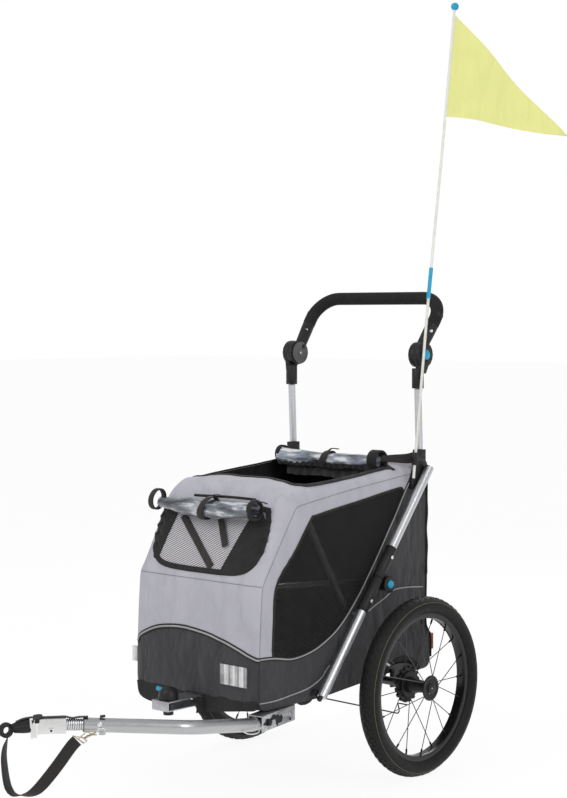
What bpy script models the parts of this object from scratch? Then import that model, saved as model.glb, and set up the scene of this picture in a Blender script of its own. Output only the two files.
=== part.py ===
"""Small two-wheeled bicycle trailer with a fabric cabin, push handle, tow arm and flag.

All lengths are metres. +Z is up, the front faces -Y, +X is the trailer's left side.
The ground is z = 0 and the wheel axle lies over y = AXLE_SHIFT.
"""
import math

import bmesh
import bpy
from mathutils import Matrix, Vector

# General fit: gaps between touching pieces, how deep joined shapes sink in, how far cutters run past
GAP = 0.0003
SEAM = 0.0006
JOIN = 0.0010
PAST = 0.0100
AXLE_SHIFT = 0.2205
LEFT_RIGHT = (("left", 1), ("right", -1))
TUBE_SIDES = 12
FINE_SIDES = 16
FLANGE_SIDES = 20
ARCH_SIDES = 40
ROD_SIDES = 8
SMOOTH_ANGLE = math.radians(38)

# Wheels
WHEEL_RADIUS = 0.203
TYRE_HALF_WIDTH = 0.0235
TYRE_HALF_HEIGHT = 0.0210
TYRE_MAJOR = WHEEL_RADIUS - TYRE_HALF_HEIGHT
WHEEL_X = 0.264
WHEEL_SEGMENTS = 36
TYRE_SECTION = 8
RIM_HALF = 0.0135
RIM_FLANGE = 0.0115
RIM_INNER = 0.1540
RIM_INNER_HALF = 0.0117
SPOKE_COUNT = 20
SPOKE_RADIUS = 0.0012
SPOKE_SIDES = 4
SPOKE_REFERENCE = (1, 0.35, 0.2)
SPOKE_SKEW = math.radians(20)
SPOKE_INSET = 0.0040
SPOKE_SPREAD = 0.0025
INNER_FLANGE_X = (0.2325, 0.2357)
INNER_FLANGE_RADIUS = 0.0300
OUTER_FLANGE_X = (0.2910, 0.2955)
OUTER_FLANGE_RADIUS = 0.0278
HUB_INNER_X = 0.2310
HUB_PROFILE = ((0.2310, 0.0175), (0.2500, 0.0165), (0.2700, 0.0135), (0.2925, 0.0125))
COG_INNER_X = 0.2225
COG_TEETH = 16
COG_ROOT = 0.0370
COG_TIP = 0.0413
COG_TOOTH = ((0.0, COG_ROOT), (0.30, COG_ROOT), (0.45, COG_TIP), (0.85, COG_TIP))
COG_NOTCH_MIDDLE = 0.15
PIN_RADIUS = 0.0060
PIN_BORE = 0.0064
PIN_INNER_X = 0.2120
BUTTON_RECESS_X = 0.2915
BUTTON_START_X = 0.2949
BUTTON_END_X = 0.2975
RELEASE_BUTTON_RADIUS = 0.0125

# Axle and base frame
AXLE_RADIUS = 0.0090
AXLE_END_X = 0.2215
AXLE_BORE_DEPTH = 0.0200
PLATE_INNER_X = 0.1802
PLATE_OUTER_X = 0.1858
PLATE_OUTLINE = ((-0.0050, 0.1900), (-0.0050, 0.2385), (0.0200, 0.2420), (0.0400, 0.2400),
                 (0.0600, 0.2355), (0.0760, 0.2280), (0.0700, 0.2050), (0.0300, 0.1880))
RAIL_RADIUS = 0.0100
RAIL_X = 0.1696
RAIL_CORNER = 0.0450
RAIL_FRONT_Y = -0.4345
RAIL_REAR_Y = 0.1060
RAIL_LEVEL_Z = 0.2212
RAIL_BEND_Y = -0.2400
RAIL_SLOPE = 0.0842
CROSS_RADIUS = 0.0085
CROSS_Y = -0.2770
CROSS_END_X = 0.1966
MAT_THICKNESS = 0.0050
MAT_HALF_X = 0.1560
MAT_FRONT_Y = -0.4200
MAT_REAR_Y = 0.0900

# Side tube line, seen from the side as (y, z)
TUBE_X = 0.2080
TUBE_RADIUS = 0.0110
LINE_START = Vector((-0.2770, 0.2150))
LINE_DIRECTION = Vector((0.6284, 0.7779))
LINE_NORMAL = Vector((0.7779, -0.6284))
LOWER_TUBE_START = -0.0120
HUB_ALONG = 0.3091
HUB_ASIDE = 0.0293
SLEEVE_SETBACK = 0.0036
LOWER_SLEEVE_LENGTH = 0.0865
UPPER_SLEEVE_LENGTH = 0.0805
UPPER_SLEEVE_START = HUB_ALONG - SLEEVE_SETBACK
UPPER_SLEEVE_END = UPPER_SLEEVE_START + UPPER_SLEEVE_LENGTH
LOWER_SLEEVE_END = UPPER_SLEEVE_START - JOIN
LOWER_TUBE_END = LOWER_SLEEVE_END - LOWER_SLEEVE_LENGTH
UPPER_TUBE_END = 0.6090
SLEEVE_RADIUS = 0.0135
FOLD_DISC_RADIUS = 0.0155
FOLD_COVER_RADIUS = 0.0195
FOLD_LAYER_INNER = 0.1975
FOLD_LAYER_MIDDLE = 0.2066
FOLD_LAYER_OUTER = 0.2218
FOLD_COVER_X = 0.2246
FOLD_LUG_WIDTH = 0.0130
FOLD_STUD_RADIUS = 0.0050
FOLD_STUD_X = 0.1634
UPPER_LUG_SHIFT = 0.0040
UPPER_LUG_X = 0.2178
CAP_RADIUS = 0.0090
CAP_RECESS_X = 0.2165
CAP_START_X = 0.2210
CAP_END_X = 0.2275

# Uprights and push handle
UPRIGHT_X = 0.1934
UPRIGHT_RADIUS = 0.0085
UPRIGHT_TOP = 0.8700
UPRIGHT_FOOT = 0.7308
UPRIGHT_Y_FOOT = 0.0857
UPRIGHT_Y_TOP = 0.0795
BRACKET_INNER_X = 0.1852
BRACKET_OUTER_X = 0.1966
COLLAR_OUTER_X = 0.2018
BRACKET_PROFILE = ((0.060, 0.640), (0.090, 0.642), (0.112, 0.684), (0.112, 0.697), (0.100, 0.712),
                   (0.100, 0.730), (0.072, 0.730), (0.072, 0.690), (0.058, 0.660))
COLLAR_PROFILE = ((0.0720, 0.7000), (0.1000, 0.7000), (0.1000, 0.7300), (0.0720, 0.7300))
PIVOT_Y = 0.0900
PIVOT_Z = 0.9480
PIVOT_RADIUS = 0.0290
PIVOT_SPLIT_X = 0.1936
PIVOT_OUTER_X = 0.2068
PIVOT_INNER_X = 0.1790
SOCKET_RADIUS = 0.0138
SOCKET_TOP = 0.9170
SOCKET_SEAT = 0.0010
SOCKET_WEB = ((-0.0185, 0.9050), (0.0060, 0.9050), (0.0220, 0.9360), (-0.0220, 0.9360))
SOCKET_WEB_X = 0.2048
PRESS_RADIUS = 0.0112
PRESS_RECESS_X = 0.1985
PRESS_START_X = 0.2030
PRESS_END_X = 0.2122
HANDLE_FOOT_X = 0.1850
HANDLE_X = 0.1935
HANDLE_CORNER_Y = 0.1840
HANDLE_CORNER_Z = 1.0790
HANDLE_CORNER_RADIUS = 0.0600
HANDLE_RADIUS = 0.0098
ARM_RADIUS = 0.0128
ARM_PORTION = 0.74
FOAM_RADIUS = 0.0152
FOAM_BORE = 0.0101
PIVOT_SWEEP = 0.0500

# Cabin hoops
ROOF_HOOP_X = 0.1716
CREASE_HOOP_X = 0.1550
HOOP_RADIUS = 0.0080
ROOF_HOOP_PIVOT = (-0.1460, 0.3772)
ROOF_HOOP_TIP = (-0.3200, 0.6560)
CREASE_HOOP_TIP = (-0.4255, 0.4630)
ROOF_HOOP_CORNER = 0.0600
CREASE_HOOP_CORNER = 0.0450

# Cabin cloth: side outline and middle outline as matching (y, z) points
CABIN_HALF = 0.1840
CABIN_WALL = 0.0040
TUB_BOTTOM = 0.2065
REAR_FOOT_Y = 0.1430
NOSE_FACE_Y = -0.4570
SIDE_OUTLINE = ((-0.430, TUB_BOTTOM), (-0.441, 0.2100), (-0.448, 0.2190), (-0.4500, 0.2350),
                (-0.4490, 0.3000), (-0.4450, 0.3900), (-0.4390, 0.4700),
                (-0.4180, 0.5010), (-0.3900, 0.5430), (-0.3640, 0.5820), (-0.3480, 0.6060),
                (-0.3380, 0.6200), (-0.3300, 0.6300),
                (-0.2800, 0.6370), (-0.1530, 0.6530), (0.0000, 0.6680), (0.0900, 0.6770),
                (0.1120, 0.6770), (0.1220, 0.6690), (0.1250, 0.6550),
                (0.1250, 0.4500), (0.1240, 0.3180), (0.1340, 0.3020), (REAR_FOOT_Y, 0.2880),
                (REAR_FOOT_Y, 0.2360), (0.1390, 0.2210), (0.1280, 0.2160), (0.1000, 0.2150),
                (0.0000, 0.2250), (-0.2400, TUB_BOTTOM))
MIDDLE_OUTLINE = ((-0.434, TUB_BOTTOM), (-0.447, 0.2100), (-0.455, 0.2190), (NOSE_FACE_Y, 0.2350),
                  (-0.4560, 0.3000), (-0.4520, 0.3900), (-0.4450, 0.4720),
                  (-0.4310, 0.5100), (-0.4160, 0.5550), (-0.3990, 0.6000), (-0.3840, 0.6360),
                  (-0.3640, 0.6630), (-0.3380, 0.6760),
                  (-0.2800, 0.6810), (-0.1530, 0.6900), (0.0000, 0.7020), (0.0900, 0.7080),
                  (0.1130, 0.7070), (0.1230, 0.6980), (0.1270, 0.6800),
                  (0.1270, 0.4500), (0.1260, 0.3180), (0.1350, 0.3020), (REAR_FOOT_Y, 0.2880),
                  (REAR_FOOT_Y, 0.2360), (0.1390, 0.2210), (0.1280, 0.2160), (0.1000, 0.2150),
                  (0.0000, 0.2250), (-0.2400, TUB_BOTTOM))
STATIONS = (-1.0, -0.990, -0.965, -0.920, -0.850, -0.65, 0.0,
            0.65, 0.850, 0.920, 0.965, 0.990, 1.0)
BULGE_POWER = 7
TUB_EDGE = ((-0.4700, 0.3190), (-0.4070, 0.3150), (-0.3410, 0.3050), (-0.2710, 0.3160),
            (-0.1980, 0.3490), (-0.1300, 0.4080), (-0.0770, 0.4700), (-0.0070, 0.5620),
            (0.0690, 0.6650), (0.1000, 0.6680), (0.1500, 0.6690))
FRONT_WAVE = ((-0.1900, 0.3165), (-0.1790, 0.3165), (-0.1700, 0.3300), (-0.1240, 0.3510),
              (-0.0760, 0.3600), (-0.0270, 0.3620), (0.0270, 0.3570), (0.0760, 0.3470),
              (0.1240, 0.3340), (0.1790, 0.3165), (0.1900, 0.3165))
FRONT_WAVE_Y = -0.4390
SIDE_WINDOW_TOP = ((0.0380, 0.6460), (0.0050, 0.6420), (-0.1300, 0.6240), (-0.2650, 0.6060),
                   (-0.2860, 0.5980), (-0.3400, 0.5300), (-0.3940, 0.4680), (-0.4040, 0.3900),
                   (-0.4070, 0.3220))
SIDE_WINDOW_EDGE = ((-0.3980, 0.3136), (-0.3410, 0.3050), (-0.2710, 0.3160), (-0.1980, 0.3490),
                    (-0.1300, 0.4080), (-0.0770, 0.4700), (-0.0070, 0.5620), (0.0400, 0.6257))
FRONT_WINDOW_HALF = ((0.0000, 0.4810), (0.1000, 0.4840), (0.1380, 0.4900), (0.1580, 0.5080),
                     (0.1640, 0.5400), (0.1590, 0.6000), (0.1520, 0.6180), (0.1380, 0.6260),
                     (0.0000, 0.6300))
ROOF_OPENING = ((-0.158, -0.290), (-0.135, -0.305), (-0.060, -0.285), (0.060, -0.285),
                (0.135, -0.305), (0.158, -0.290), (0.167, -0.240), (0.167, -0.010),
                (0.150, 0.010), (-0.150, 0.010), (-0.167, -0.010), (-0.167, -0.240))
ARCH_RADIUS = 0.0820
ARCH_CENTRE = (0.0327, 0.1698)
ARCH_INNER_X = 0.1790
WORK_FLOOR = 0.1500
WORK_HALF = 0.2000
FRONT_SLAB = (-0.4800, -0.3500)
ROOF_SLAB = (0.6200, 0.7500)
NOSE_CUT = ((-0.0265, -0.4800, 0.1800), (0.0265, -0.4200, 0.2250))

# Rolled covers
FRONT_ROLL_Y = -0.4174
FRONT_ROLL_Z = 0.6255
FRONT_ROLL_RADIUS = 0.0250
FRONT_ROLL_HALF = 0.1400
ROOF_ROLL_Y = -0.0092
ROOF_ROLL_Z = 0.7057
ROOF_ROLL_RADIUS = 0.0188
ROOF_ROLL_HALF = 0.1480
ROLL_SAG = 0.0040
ROLL_SHAPE = ((-1.0, 0.86), (-0.98, 1.02), (-0.90, 1.02), (-0.87, 0.92), (-0.45, 0.97), (0.0, 1.0),
              (0.45, 0.97), (0.87, 0.92), (0.90, 1.02), (0.98, 1.02), (1.0, 0.86))

# Tow arm and its receiver
CHANNEL_MOUTH = Vector((0.1898, -0.4685, 0.1880))
CHANNEL_REAR = Vector((0.1630, -0.3350, 0.1880))
CHANNEL_HALF = 0.0175
CHANNEL_WALL = 0.0020
CHANNEL_TOP = 0.2045
CHANNEL_BOTTOM = 0.1710
CHANNEL_BOSS = 0.0060
BOSS_Y = -0.3650
BOSS_TOP = 0.2108
LOCK_PIN_RADIUS = 0.0040
LOCK_PIN_INSET = 0.0250
LOCK_PIN_REACH = 0.0240
LOCK_PIN_HEAD = 0.0070
LOCK_PIN_HEAD_LENGTH = 0.0050
ARM_TUBE_RADIUS = 0.0142
ARM_BEND = Vector((0.2310, -0.6960, 0.2265))
ARM_END = Vector((0.0950, -0.8610, 0.2400))
ARM_BEND_RADIUS = 0.0700
ARM_INSET = 0.0200
ARM_RISE_START = 0.0120
ROD_END = Vector((0.0740, -0.8870, 0.2410))
BLOCK_END = Vector((0.0345, -0.9340, 0.2410))
EYE_CENTRE = Vector((-0.0004, -0.9755, 0.2342))
SPRING_RADIUS = 0.0108
SPRING_BORE = 0.0062
SPRING_TURNS = 5
SPRING_GAP = 0.0008
SPRING_RIB = ((0.15, 0.90), (0.50, 1.0), (0.85, 0.90))
STEM_RADIUS = 0.0056
STEM_START = 0.0018
LUG_RADIUS = 0.0065
LUG_PLACE = Vector((0.1185, -0.8325, 0.2190))
LUG_TOP = 0.2300
BLOCK_HALF_WIDTH = 0.0125
BLOCK_HALF_HEIGHT = 0.0145
FLANGE_LENGTH = 0.0060
FLANGE_TOP = 0.0148
FLANGE_DROP = 0.0210
FLANGE_HALF_WIDTH = 0.0140
NECK_GAP = 0.0019
NECK_RADII = (0.0125, 0.0120, 0.0085, 0.0045)
NECK_WAIST = 0.35
NECK_SINK = 0.75
EYE_RADIUS = 0.0150
EYE_HOLE = 0.0070
EYE_HALF = 0.0040
EYE_AXIS = Vector((0.966, -0.259, 0.0))
STRAP_HALF = 0.0122
STRAP_THICKNESS = 0.0020
TAIL_HALF = 0.0060
STRAP_ORIGIN = Vector((0.0740, -0.8870, 0.0))
STRAP_PATH = ((0.1133, 0.2184, 5), (0.1180, 0.2020, 20), (0.1200, 0.1840, 25), (0.1190, 0.1640, 28),
              (0.1165, 0.1420, 30), (0.1125, 0.1230, 30), (0.1050, 0.1110, 18), (0.0955, 0.1060, -5),
              (0.0840, 0.1055, -22), (0.0715, 0.1072, -42), (0.0585, 0.1135, -65), (0.0460, 0.1250, -80),
              (0.0293, 0.1450, -86), (0.0137, 0.1650, -88), (-0.0013, 0.1858, -88),
              (-0.0124, 0.2005, -88), (-0.0213, 0.2093, -88))
TAIL_PATH = ((-0.0764, 0.2536), (-0.0334, 0.2560), (-0.0050, 0.2574), (0.0450, 0.2574),
             (0.0600, 0.2580), (0.0720, 0.2568), (0.0840, 0.2526))
HOOK_WIRE = 0.0016
HOOK_RING_PATH = ((-0.0140, 0.2190), (-0.0340, 0.2035), (-0.0405, 0.2075), (-0.0330, 0.2140))
HOOK_BODY_PATH = ((-0.0350, 0.2118), (-0.0420, 0.2170), (-0.0520, 0.2200), (-0.0600, 0.2190))
HOOK_BODY_RADII = (0.0026, 0.0024, 0.0020, 0.0016)

# Front wheel bracket under the nose
NOSE_HALF = 0.0245
NOSE_FRONT = -0.5600
NOSE_REAR = -0.4450
NOSE_BOTTOM = 0.2020
NOSE_TOP = 0.2230
NOSE_WALL = 0.0030
NOSE_BOLT = 0.0045
NOSE_BOLT_Y = -0.5350
KNOB_RADIUS = 0.0215
KNOB_TOP = 0.2500
LEVER_RADIUS = 0.0040
LEVER_Z = 0.2400
LEVER_REACH = 0.0330
NUT_RADIUS = 0.0110
NUT_BOTTOM = 0.1900
KNOB_PROFILE = ((0.0, 1.0), (0.27, 1.0), (0.65, 0.90), (0.86, 0.66), (1.0, 0.36))
KNOB_SEAT = NOSE_TOP + SEAM
BOLT_TOP = NOSE_TOP + 0.0030
LEVER_ROOT = 0.0040
LEVER_RISE = 0.0020
LEVER_SHAPE = ((0.0, 0.90), (0.6, 1.0), (1.0, 1.25))
LEVER_SLOT = ((-0.0500, -0.0055, -0.0040), (0.0055, 0.0500, 0.0500))

# Parking brake rod
BRAKE_RADIUS = 0.0018
BRAKE_X = 0.2010
BRAKE_PIVOT = (-0.2440, TUB_BOTTOM - GAP - BRAKE_RADIUS)
BRAKE_PATH = (BRAKE_PIVOT, (0.0090, 0.1290), (-0.0020, 0.1560))
BRAKE_TIP_X = 0.2290
BRAKE_CORNER = 0.0060
BRAKE_SIDES = 6
BRAKE_REFERENCE = (0.1, 0.2, 1)
BRAKE_NOTCH_ANGLE = math.radians(269.3)

# Flag
POLE_X = 0.2140
POLE_PATH = ((0.0380, 0.6680), (0.0870, 1.0460), (0.1130, 1.2280), (0.1390, 1.3960),
             (0.1640, 1.5760), (0.1878, 1.7500))
POLE_RADIUS = 0.0032
FERRULE_RADIUS = 0.0042
FERRULE_LOW = (0.0910, 1.0760)
FERRULE_HIGH = (0.1016, 1.1480)
BALL_RADIUS = 0.0090
BALL_CENTRE = (0.1885, 1.7520)
CLIP_LOW = 0.6980
CLIP_HIGH = 0.7260
CLIP_RADIUS = 0.0070
CLIP_LUG_HALF = 0.0060
CLIP_LUG_DEPTH = 0.0120
FLAG_TOP = Vector((0.2140, 0.1892, 1.7330))
FLAG_BOTTOM = Vector((0.2140, 0.1567, 1.4960))
FLAG_TIP = Vector((0.2860, 0.5500, 1.4760))
FLAG_THICKNESS = 0.0010
FLAG_WAVE = 0.0070
FLAG_SWINGS = 2.6
FLAG_LEAN = 1.1
FLAG_CALM = 3
FLAG_RIPPLES = 2.0
FLAG_DROOP = 0.6
FLAG_COLUMNS = 14
FLAG_ROWS = 6

# Reflectors
REFLECTOR_X = (0.0810, 0.1570)
REFLECTOR_Z = (0.2560, 0.2990)
REFLECTOR_THICKNESS = 0.0040
REAR_REFLECTOR_X = (0.1400, 0.1820)
REAR_REFLECTOR_Z = (0.2610, 0.2860)


def clear_scene():
    for item in list(bpy.data.objects):
        bpy.data.objects.remove(item, do_unlink=True)
    for mesh in list(bpy.data.meshes):
        bpy.data.meshes.remove(mesh)


def make_material(name, colour, roughness, metallic=0.0):
    material = bpy.data.materials.new(name)
    material.use_nodes = True
    shader = material.node_tree.nodes["Principled BSDF"]
    shader.inputs["Base Color"].default_value = (*colour, 1.0)
    shader.inputs["Roughness"].default_value = roughness
    shader.inputs["Metallic"].default_value = metallic
    material.diffuse_color = (*colour, 1.0)
    return material


def build_materials():
    return {
        "grey": make_material("light_grey_cloth", (0.50, 0.50, 0.55), 0.85),
        "charcoal": make_material("charcoal_cloth", (0.045, 0.045, 0.052), 0.88),
        "mesh": make_material("black_mesh", (0.030, 0.029, 0.030), 0.80),
        "plastic": make_material("black_plastic", (0.018, 0.017, 0.017), 0.45),
        "foam": make_material("black_foam", (0.015, 0.015, 0.015), 0.90),
        "rubber": make_material("tyre_rubber", (0.016, 0.016, 0.016), 0.75),
        "silver": make_material("brushed_aluminium", (0.60, 0.61, 0.63), 0.32, 1.0),
        "steel": make_material("zinc_steel", (0.48, 0.48, 0.50), 0.35, 1.0),
        "dark_steel": make_material("dark_steel", (0.06, 0.06, 0.065), 0.40, 0.8),
        "blue": make_material("blue_plastic", (0.0, 0.33, 0.58), 0.40),
        "clear": make_material("clear_film", (0.42, 0.45, 0.48), 0.12),
        "flag": make_material("flag_cloth", (0.78, 0.83, 0.20), 0.75),
        "pole": make_material("glass_fibre", (0.74, 0.75, 0.66), 0.45),
        "webbing": make_material("black_webbing", (0.020, 0.020, 0.021), 0.85),
        "lens": make_material("clear_reflector", (0.62, 0.63, 0.64), 0.15),
        "red_lens": make_material("red_reflector", (0.55, 0.02, 0.02), 0.20),
        "mat": make_material("floor_mat", (0.035, 0.035, 0.038), 0.90),
    }


def mesh_from_bmesh(work):
    bmesh.ops.recalc_face_normals(work, faces=work.faces)
    mesh = bpy.data.meshes.new("shape")
    work.to_mesh(mesh)
    work.free()
    return mesh


def frame_at(tangent, reference):
    across = reference.cross(tangent).normalized()
    upward = tangent.cross(across).normalized()
    return across, upward


def path_tangents(path, cyclic):
    count = len(path)
    tangents = []
    for index in range(count):
        before = path[index - 1] if (cyclic or index > 0) else path[index]
        after = path[(index + 1) % count] if (cyclic or index < count - 1) else path[index]
        tangents.append((Vector(after) - Vector(before)).normalized())
    return tangents


def add_ring(work, centre, across, upward, radius, sides):
    ring = []
    for step in range(sides):
        angle = math.tau * step / sides
        offset = across * (radius * math.cos(angle)) + upward * (radius * math.sin(angle))
        ring.append(work.verts.new(centre + offset))
    return ring


def bridge(work, ring_a, ring_b):
    count = len(ring_a)
    for step in range(count):
        following = (step + 1) % count
        work.faces.new((ring_a[step], ring_a[following], ring_b[following], ring_b[step]))


def sweep(path, radius, sides=TUBE_SIDES, reference=(1, 0, 0), bore=0.0, cyclic=False):
    """Round tube or rod along a path; radius may be one number or one per point."""
    work = bmesh.new()
    points = [Vector(point) for point in path]
    radii = list(radius) if isinstance(radius, (list, tuple)) else [radius] * len(points)
    outer = []
    inner = []
    for point, tangent, size in zip(points, path_tangents(points, cyclic), radii):
        across, upward = frame_at(tangent, Vector(reference))
        outer.append(add_ring(work, point, across, upward, size, sides))
        if bore:
            inner.append(add_ring(work, point, across, upward, bore, sides))
    last = len(points) if cyclic else len(points) - 1
    for index in range(last):
        following = (index + 1) % len(points)
        bridge(work, outer[index], outer[following])
        if bore:
            bridge(work, inner[index], inner[following])
    if not cyclic:
        for end in (0, -1):
            if bore:
                bridge(work, outer[end], inner[end])
            else:
                work.faces.new(outer[end])
    return mesh_from_bmesh(work)


def cylinder_x(x_start, x_end, y, z, radius, sides=FINE_SIDES):
    path = ((x_start, y, z), (x_end, y, z))
    return sweep(path, radius, sides, reference=(0, 0, 1))


def cylinder_z(x, y, z_start, z_end, radius, sides=FINE_SIDES):
    path = ((x, y, z_start), (x, y, z_end))
    return sweep(path, radius, sides, reference=(1, 0, 0))


def prism(outline, axis, low, high):
    """Closed prism: the outline's two numbers fill the axes left over, in x, y, z order."""
    work = bmesh.new()
    rings = []
    for level in (low, high):
        ring = []
        for first, second in outline:
            values = [first, second]
            values.insert(axis, level)
            ring.append(work.verts.new(values))
        rings.append(ring)
    bridge(work, rings[0], rings[1])
    work.faces.new(rings[0])
    work.faces.new(rings[1])
    return mesh_from_bmesh(work)


def box(low, high):
    outline = ((low[0], low[1]), (high[0], low[1]), (high[0], high[1]), (low[0], high[1]))
    return prism(outline, 2, low[2], high[2])


def turned_box(start, end, half_width, half_height):
    """Box along the line start to end, kept upright."""
    along = (end - start).normalized()
    across = Vector((along.y, -along.x, 0)).normalized()
    upward = across.cross(along)
    work = bmesh.new()
    rings = []
    for point in (start, end):
        ring = []
        for side, lift in ((-1, -1), (1, -1), (1, 1), (-1, 1)):
            offset = across * (side * half_width) + upward * (lift * half_height)
            ring.append(work.verts.new(point + offset))
        rings.append(ring)
    bridge(work, rings[0], rings[1])
    work.faces.new(rings[0])
    work.faces.new(rings[1])
    return mesh_from_bmesh(work)


def lathe_x(profile, centre, segments):
    """Ring turned about the x direction; the profile is a closed loop of (x, radius)."""
    work = bmesh.new()
    rings = []
    for step in range(segments):
        angle = math.tau * step / segments
        ring = []
        for along, radius in profile:
            point = Vector((along, radius * math.cos(angle), radius * math.sin(angle)))
            ring.append(work.verts.new(centre + point))
        rings.append(ring)
    for step in range(segments):
        bridge(work, rings[step], rings[(step + 1) % segments])
    return mesh_from_bmesh(work)


def ball(centre, radius, rows=8, columns=12):
    work = bmesh.new()
    bmesh.ops.create_uvsphere(work, u_segments=columns, v_segments=rows, radius=radius)
    bmesh.ops.translate(work, verts=work.verts, vec=centre)
    return mesh_from_bmesh(work)


def combine(base, others, operation):
    """Exact Boolean of one mesh with a list of meshes."""
    target = bpy.data.objects.new("work_target", base)
    bpy.context.scene.collection.objects.link(target)
    helpers = []
    for mesh in others:
        helper = bpy.data.objects.new("work_tool", mesh)
        helper.display_type = "WIRE"
        helper.hide_render = True
        bpy.context.scene.collection.objects.link(helper)
        modifier = target.modifiers.new("cut", "BOOLEAN")
        modifier.operation = operation
        modifier.solver = "EXACT"
        modifier.object = helper
        helpers.append(helper)
    bpy.context.view_layer.update()
    graph = bpy.context.evaluated_depsgraph_get()
    result = bpy.data.meshes.new_from_object(target.evaluated_get(graph))
    bpy.data.objects.remove(target, do_unlink=True)
    for helper in helpers:
        bpy.data.objects.remove(helper, do_unlink=True)
    return result


def unite(base, *others):
    return combine(base, others, "UNION")


def subtract(base, *others):
    return combine(base, others, "DIFFERENCE")


def common(base, other):
    return combine(base, (other,), "INTERSECT")


def rounded_path(points, radius, steps=4):
    """Path with every inner corner replaced by an arc of the given radius."""
    points = [Vector(point) for point in points]
    path = [points[0]]
    for before, corner, after in zip(points, points[1:], points[2:]):
        into = (corner - before).normalized()
        out = (after - corner).normalized()
        turn = into.angle(out)
        reach = radius * math.tan(turn / 2)
        start = corner - into * reach
        centre = start + (out - into * into.dot(out)).normalized() * radius
        first = start - centre
        for step in range(steps + 1):
            angle = turn * step / steps
            path.append(centre + first * math.cos(angle) + into * (radius * math.sin(angle)))
    path.append(points[-1])
    return path


def offset_outline(outline, distance):
    """Closed outline moved outward (inward when negative), whichever way it runs."""
    count = len(outline)
    area = 0.0
    for index in range(count):
        first = outline[index]
        second = outline[(index + 1) % count]
        area += first[0] * second[1] - second[0] * first[1]
    turn = 1.0 if area > 0 else -1.0
    moved = []
    for index in range(count):
        before = Vector(outline[index - 1])
        here = Vector(outline[index])
        after = Vector(outline[(index + 1) % count])
        edge_a = (here - before).normalized()
        edge_b = (after - here).normalized()
        normal_a = Vector((edge_a.y, -edge_a.x)) * turn
        normal_b = Vector((edge_b.y, -edge_b.x)) * turn
        middle = (normal_a + normal_b).normalized()
        moved.append(here + middle * (distance / max(0.5, middle.dot(normal_a))))
    return [tuple(point) for point in moved]


def mirror_mesh(mesh):
    """Copy of a mesh on the other side of the middle plane."""
    work = bmesh.new()
    work.from_mesh(mesh)
    bmesh.ops.scale(work, vec=(-1, 1, 1), verts=work.verts)
    return mesh_from_bmesh(work)


def on_side(mesh, side):
    return mesh if side > 0 else mirror_mesh(mesh)


def line_point(along, aside=0.0, x=TUBE_X):
    """Point on the side tube line, as x, y, z."""
    place = LINE_START + LINE_DIRECTION * along + LINE_NORMAL * aside
    return Vector((x, place.x, place.y))


def add_part(name, mesh, material, root, origin=(0, 0, 0), smooth=True):
    """Named object with its origin at the given place, hung under the root."""
    origin = Vector(origin)
    work = bmesh.new()
    work.from_mesh(mesh)
    bmesh.ops.remove_doubles(work, verts=work.verts, dist=0.000002)
    bmesh.ops.translate(work, verts=work.verts, vec=-origin)
    finished = mesh_from_bmesh(work)
    finished.name = name
    finished.materials.clear()
    finished.materials.append(material)
    for polygon in finished.polygons:
        polygon.use_smooth = smooth
    if smooth:
        finished.set_sharp_from_angle(angle=SMOOTH_ANGLE)
    item = bpy.data.objects.new(name, finished)
    item.location = origin
    item.parent = root
    bpy.context.scene.collection.objects.link(item)
    return item


def tyre_profile():
    profile = []
    for step in range(TYRE_SECTION):
        angle = math.tau * step / TYRE_SECTION
        profile.append((TYRE_HALF_WIDTH * math.sin(angle), TYRE_MAJOR + TYRE_HALF_HEIGHT * math.cos(angle)))
    return profile


def rim_seat(along):
    """Radius of the rim's seat under the tyre, at a distance from the wheel's middle plane."""
    depth = TYRE_HALF_HEIGHT * math.sqrt(1 - (along / TYRE_HALF_WIDTH) ** 2)
    return TYRE_MAJOR - depth - GAP


def rim_profile():
    flange = rim_seat(RIM_FLANGE)
    return ((-RIM_HALF, flange), (-RIM_FLANGE, flange), (0, rim_seat(0)), (RIM_FLANGE, flange),
            (RIM_HALF, flange), (RIM_INNER_HALF, RIM_INNER), (-RIM_INNER_HALF, RIM_INNER))


def wheel_point(x, radius, angle):
    return Vector((x, radius * math.cos(angle), WHEEL_RADIUS + radius * math.sin(angle)))


def build_spoke(index):
    """Spokes leave the two flanges in turn and cross in pairs."""
    outer = index % 2
    flange = OUTER_FLANGE_X if outer else INNER_FLANGE_X
    start_radius = (OUTER_FLANGE_RADIUS if outer else INNER_FLANGE_RADIUS) - SPOKE_INSET
    skew = SPOKE_SKEW if index % 4 < 2 else -SPOKE_SKEW
    angle = math.tau * index / SPOKE_COUNT
    end_radius = RIM_INNER * math.cos(math.pi / WHEEL_SEGMENTS) - SEAM
    end_x = WHEEL_X + (SPOKE_SPREAD if outer else -SPOKE_SPREAD)
    start = wheel_point(sum(flange) / 2, start_radius, angle - skew)
    end = wheel_point(end_x, end_radius, angle)
    return sweep((start, end), SPOKE_RADIUS, SPOKE_SIDES, reference=SPOKE_REFERENCE)


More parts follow.
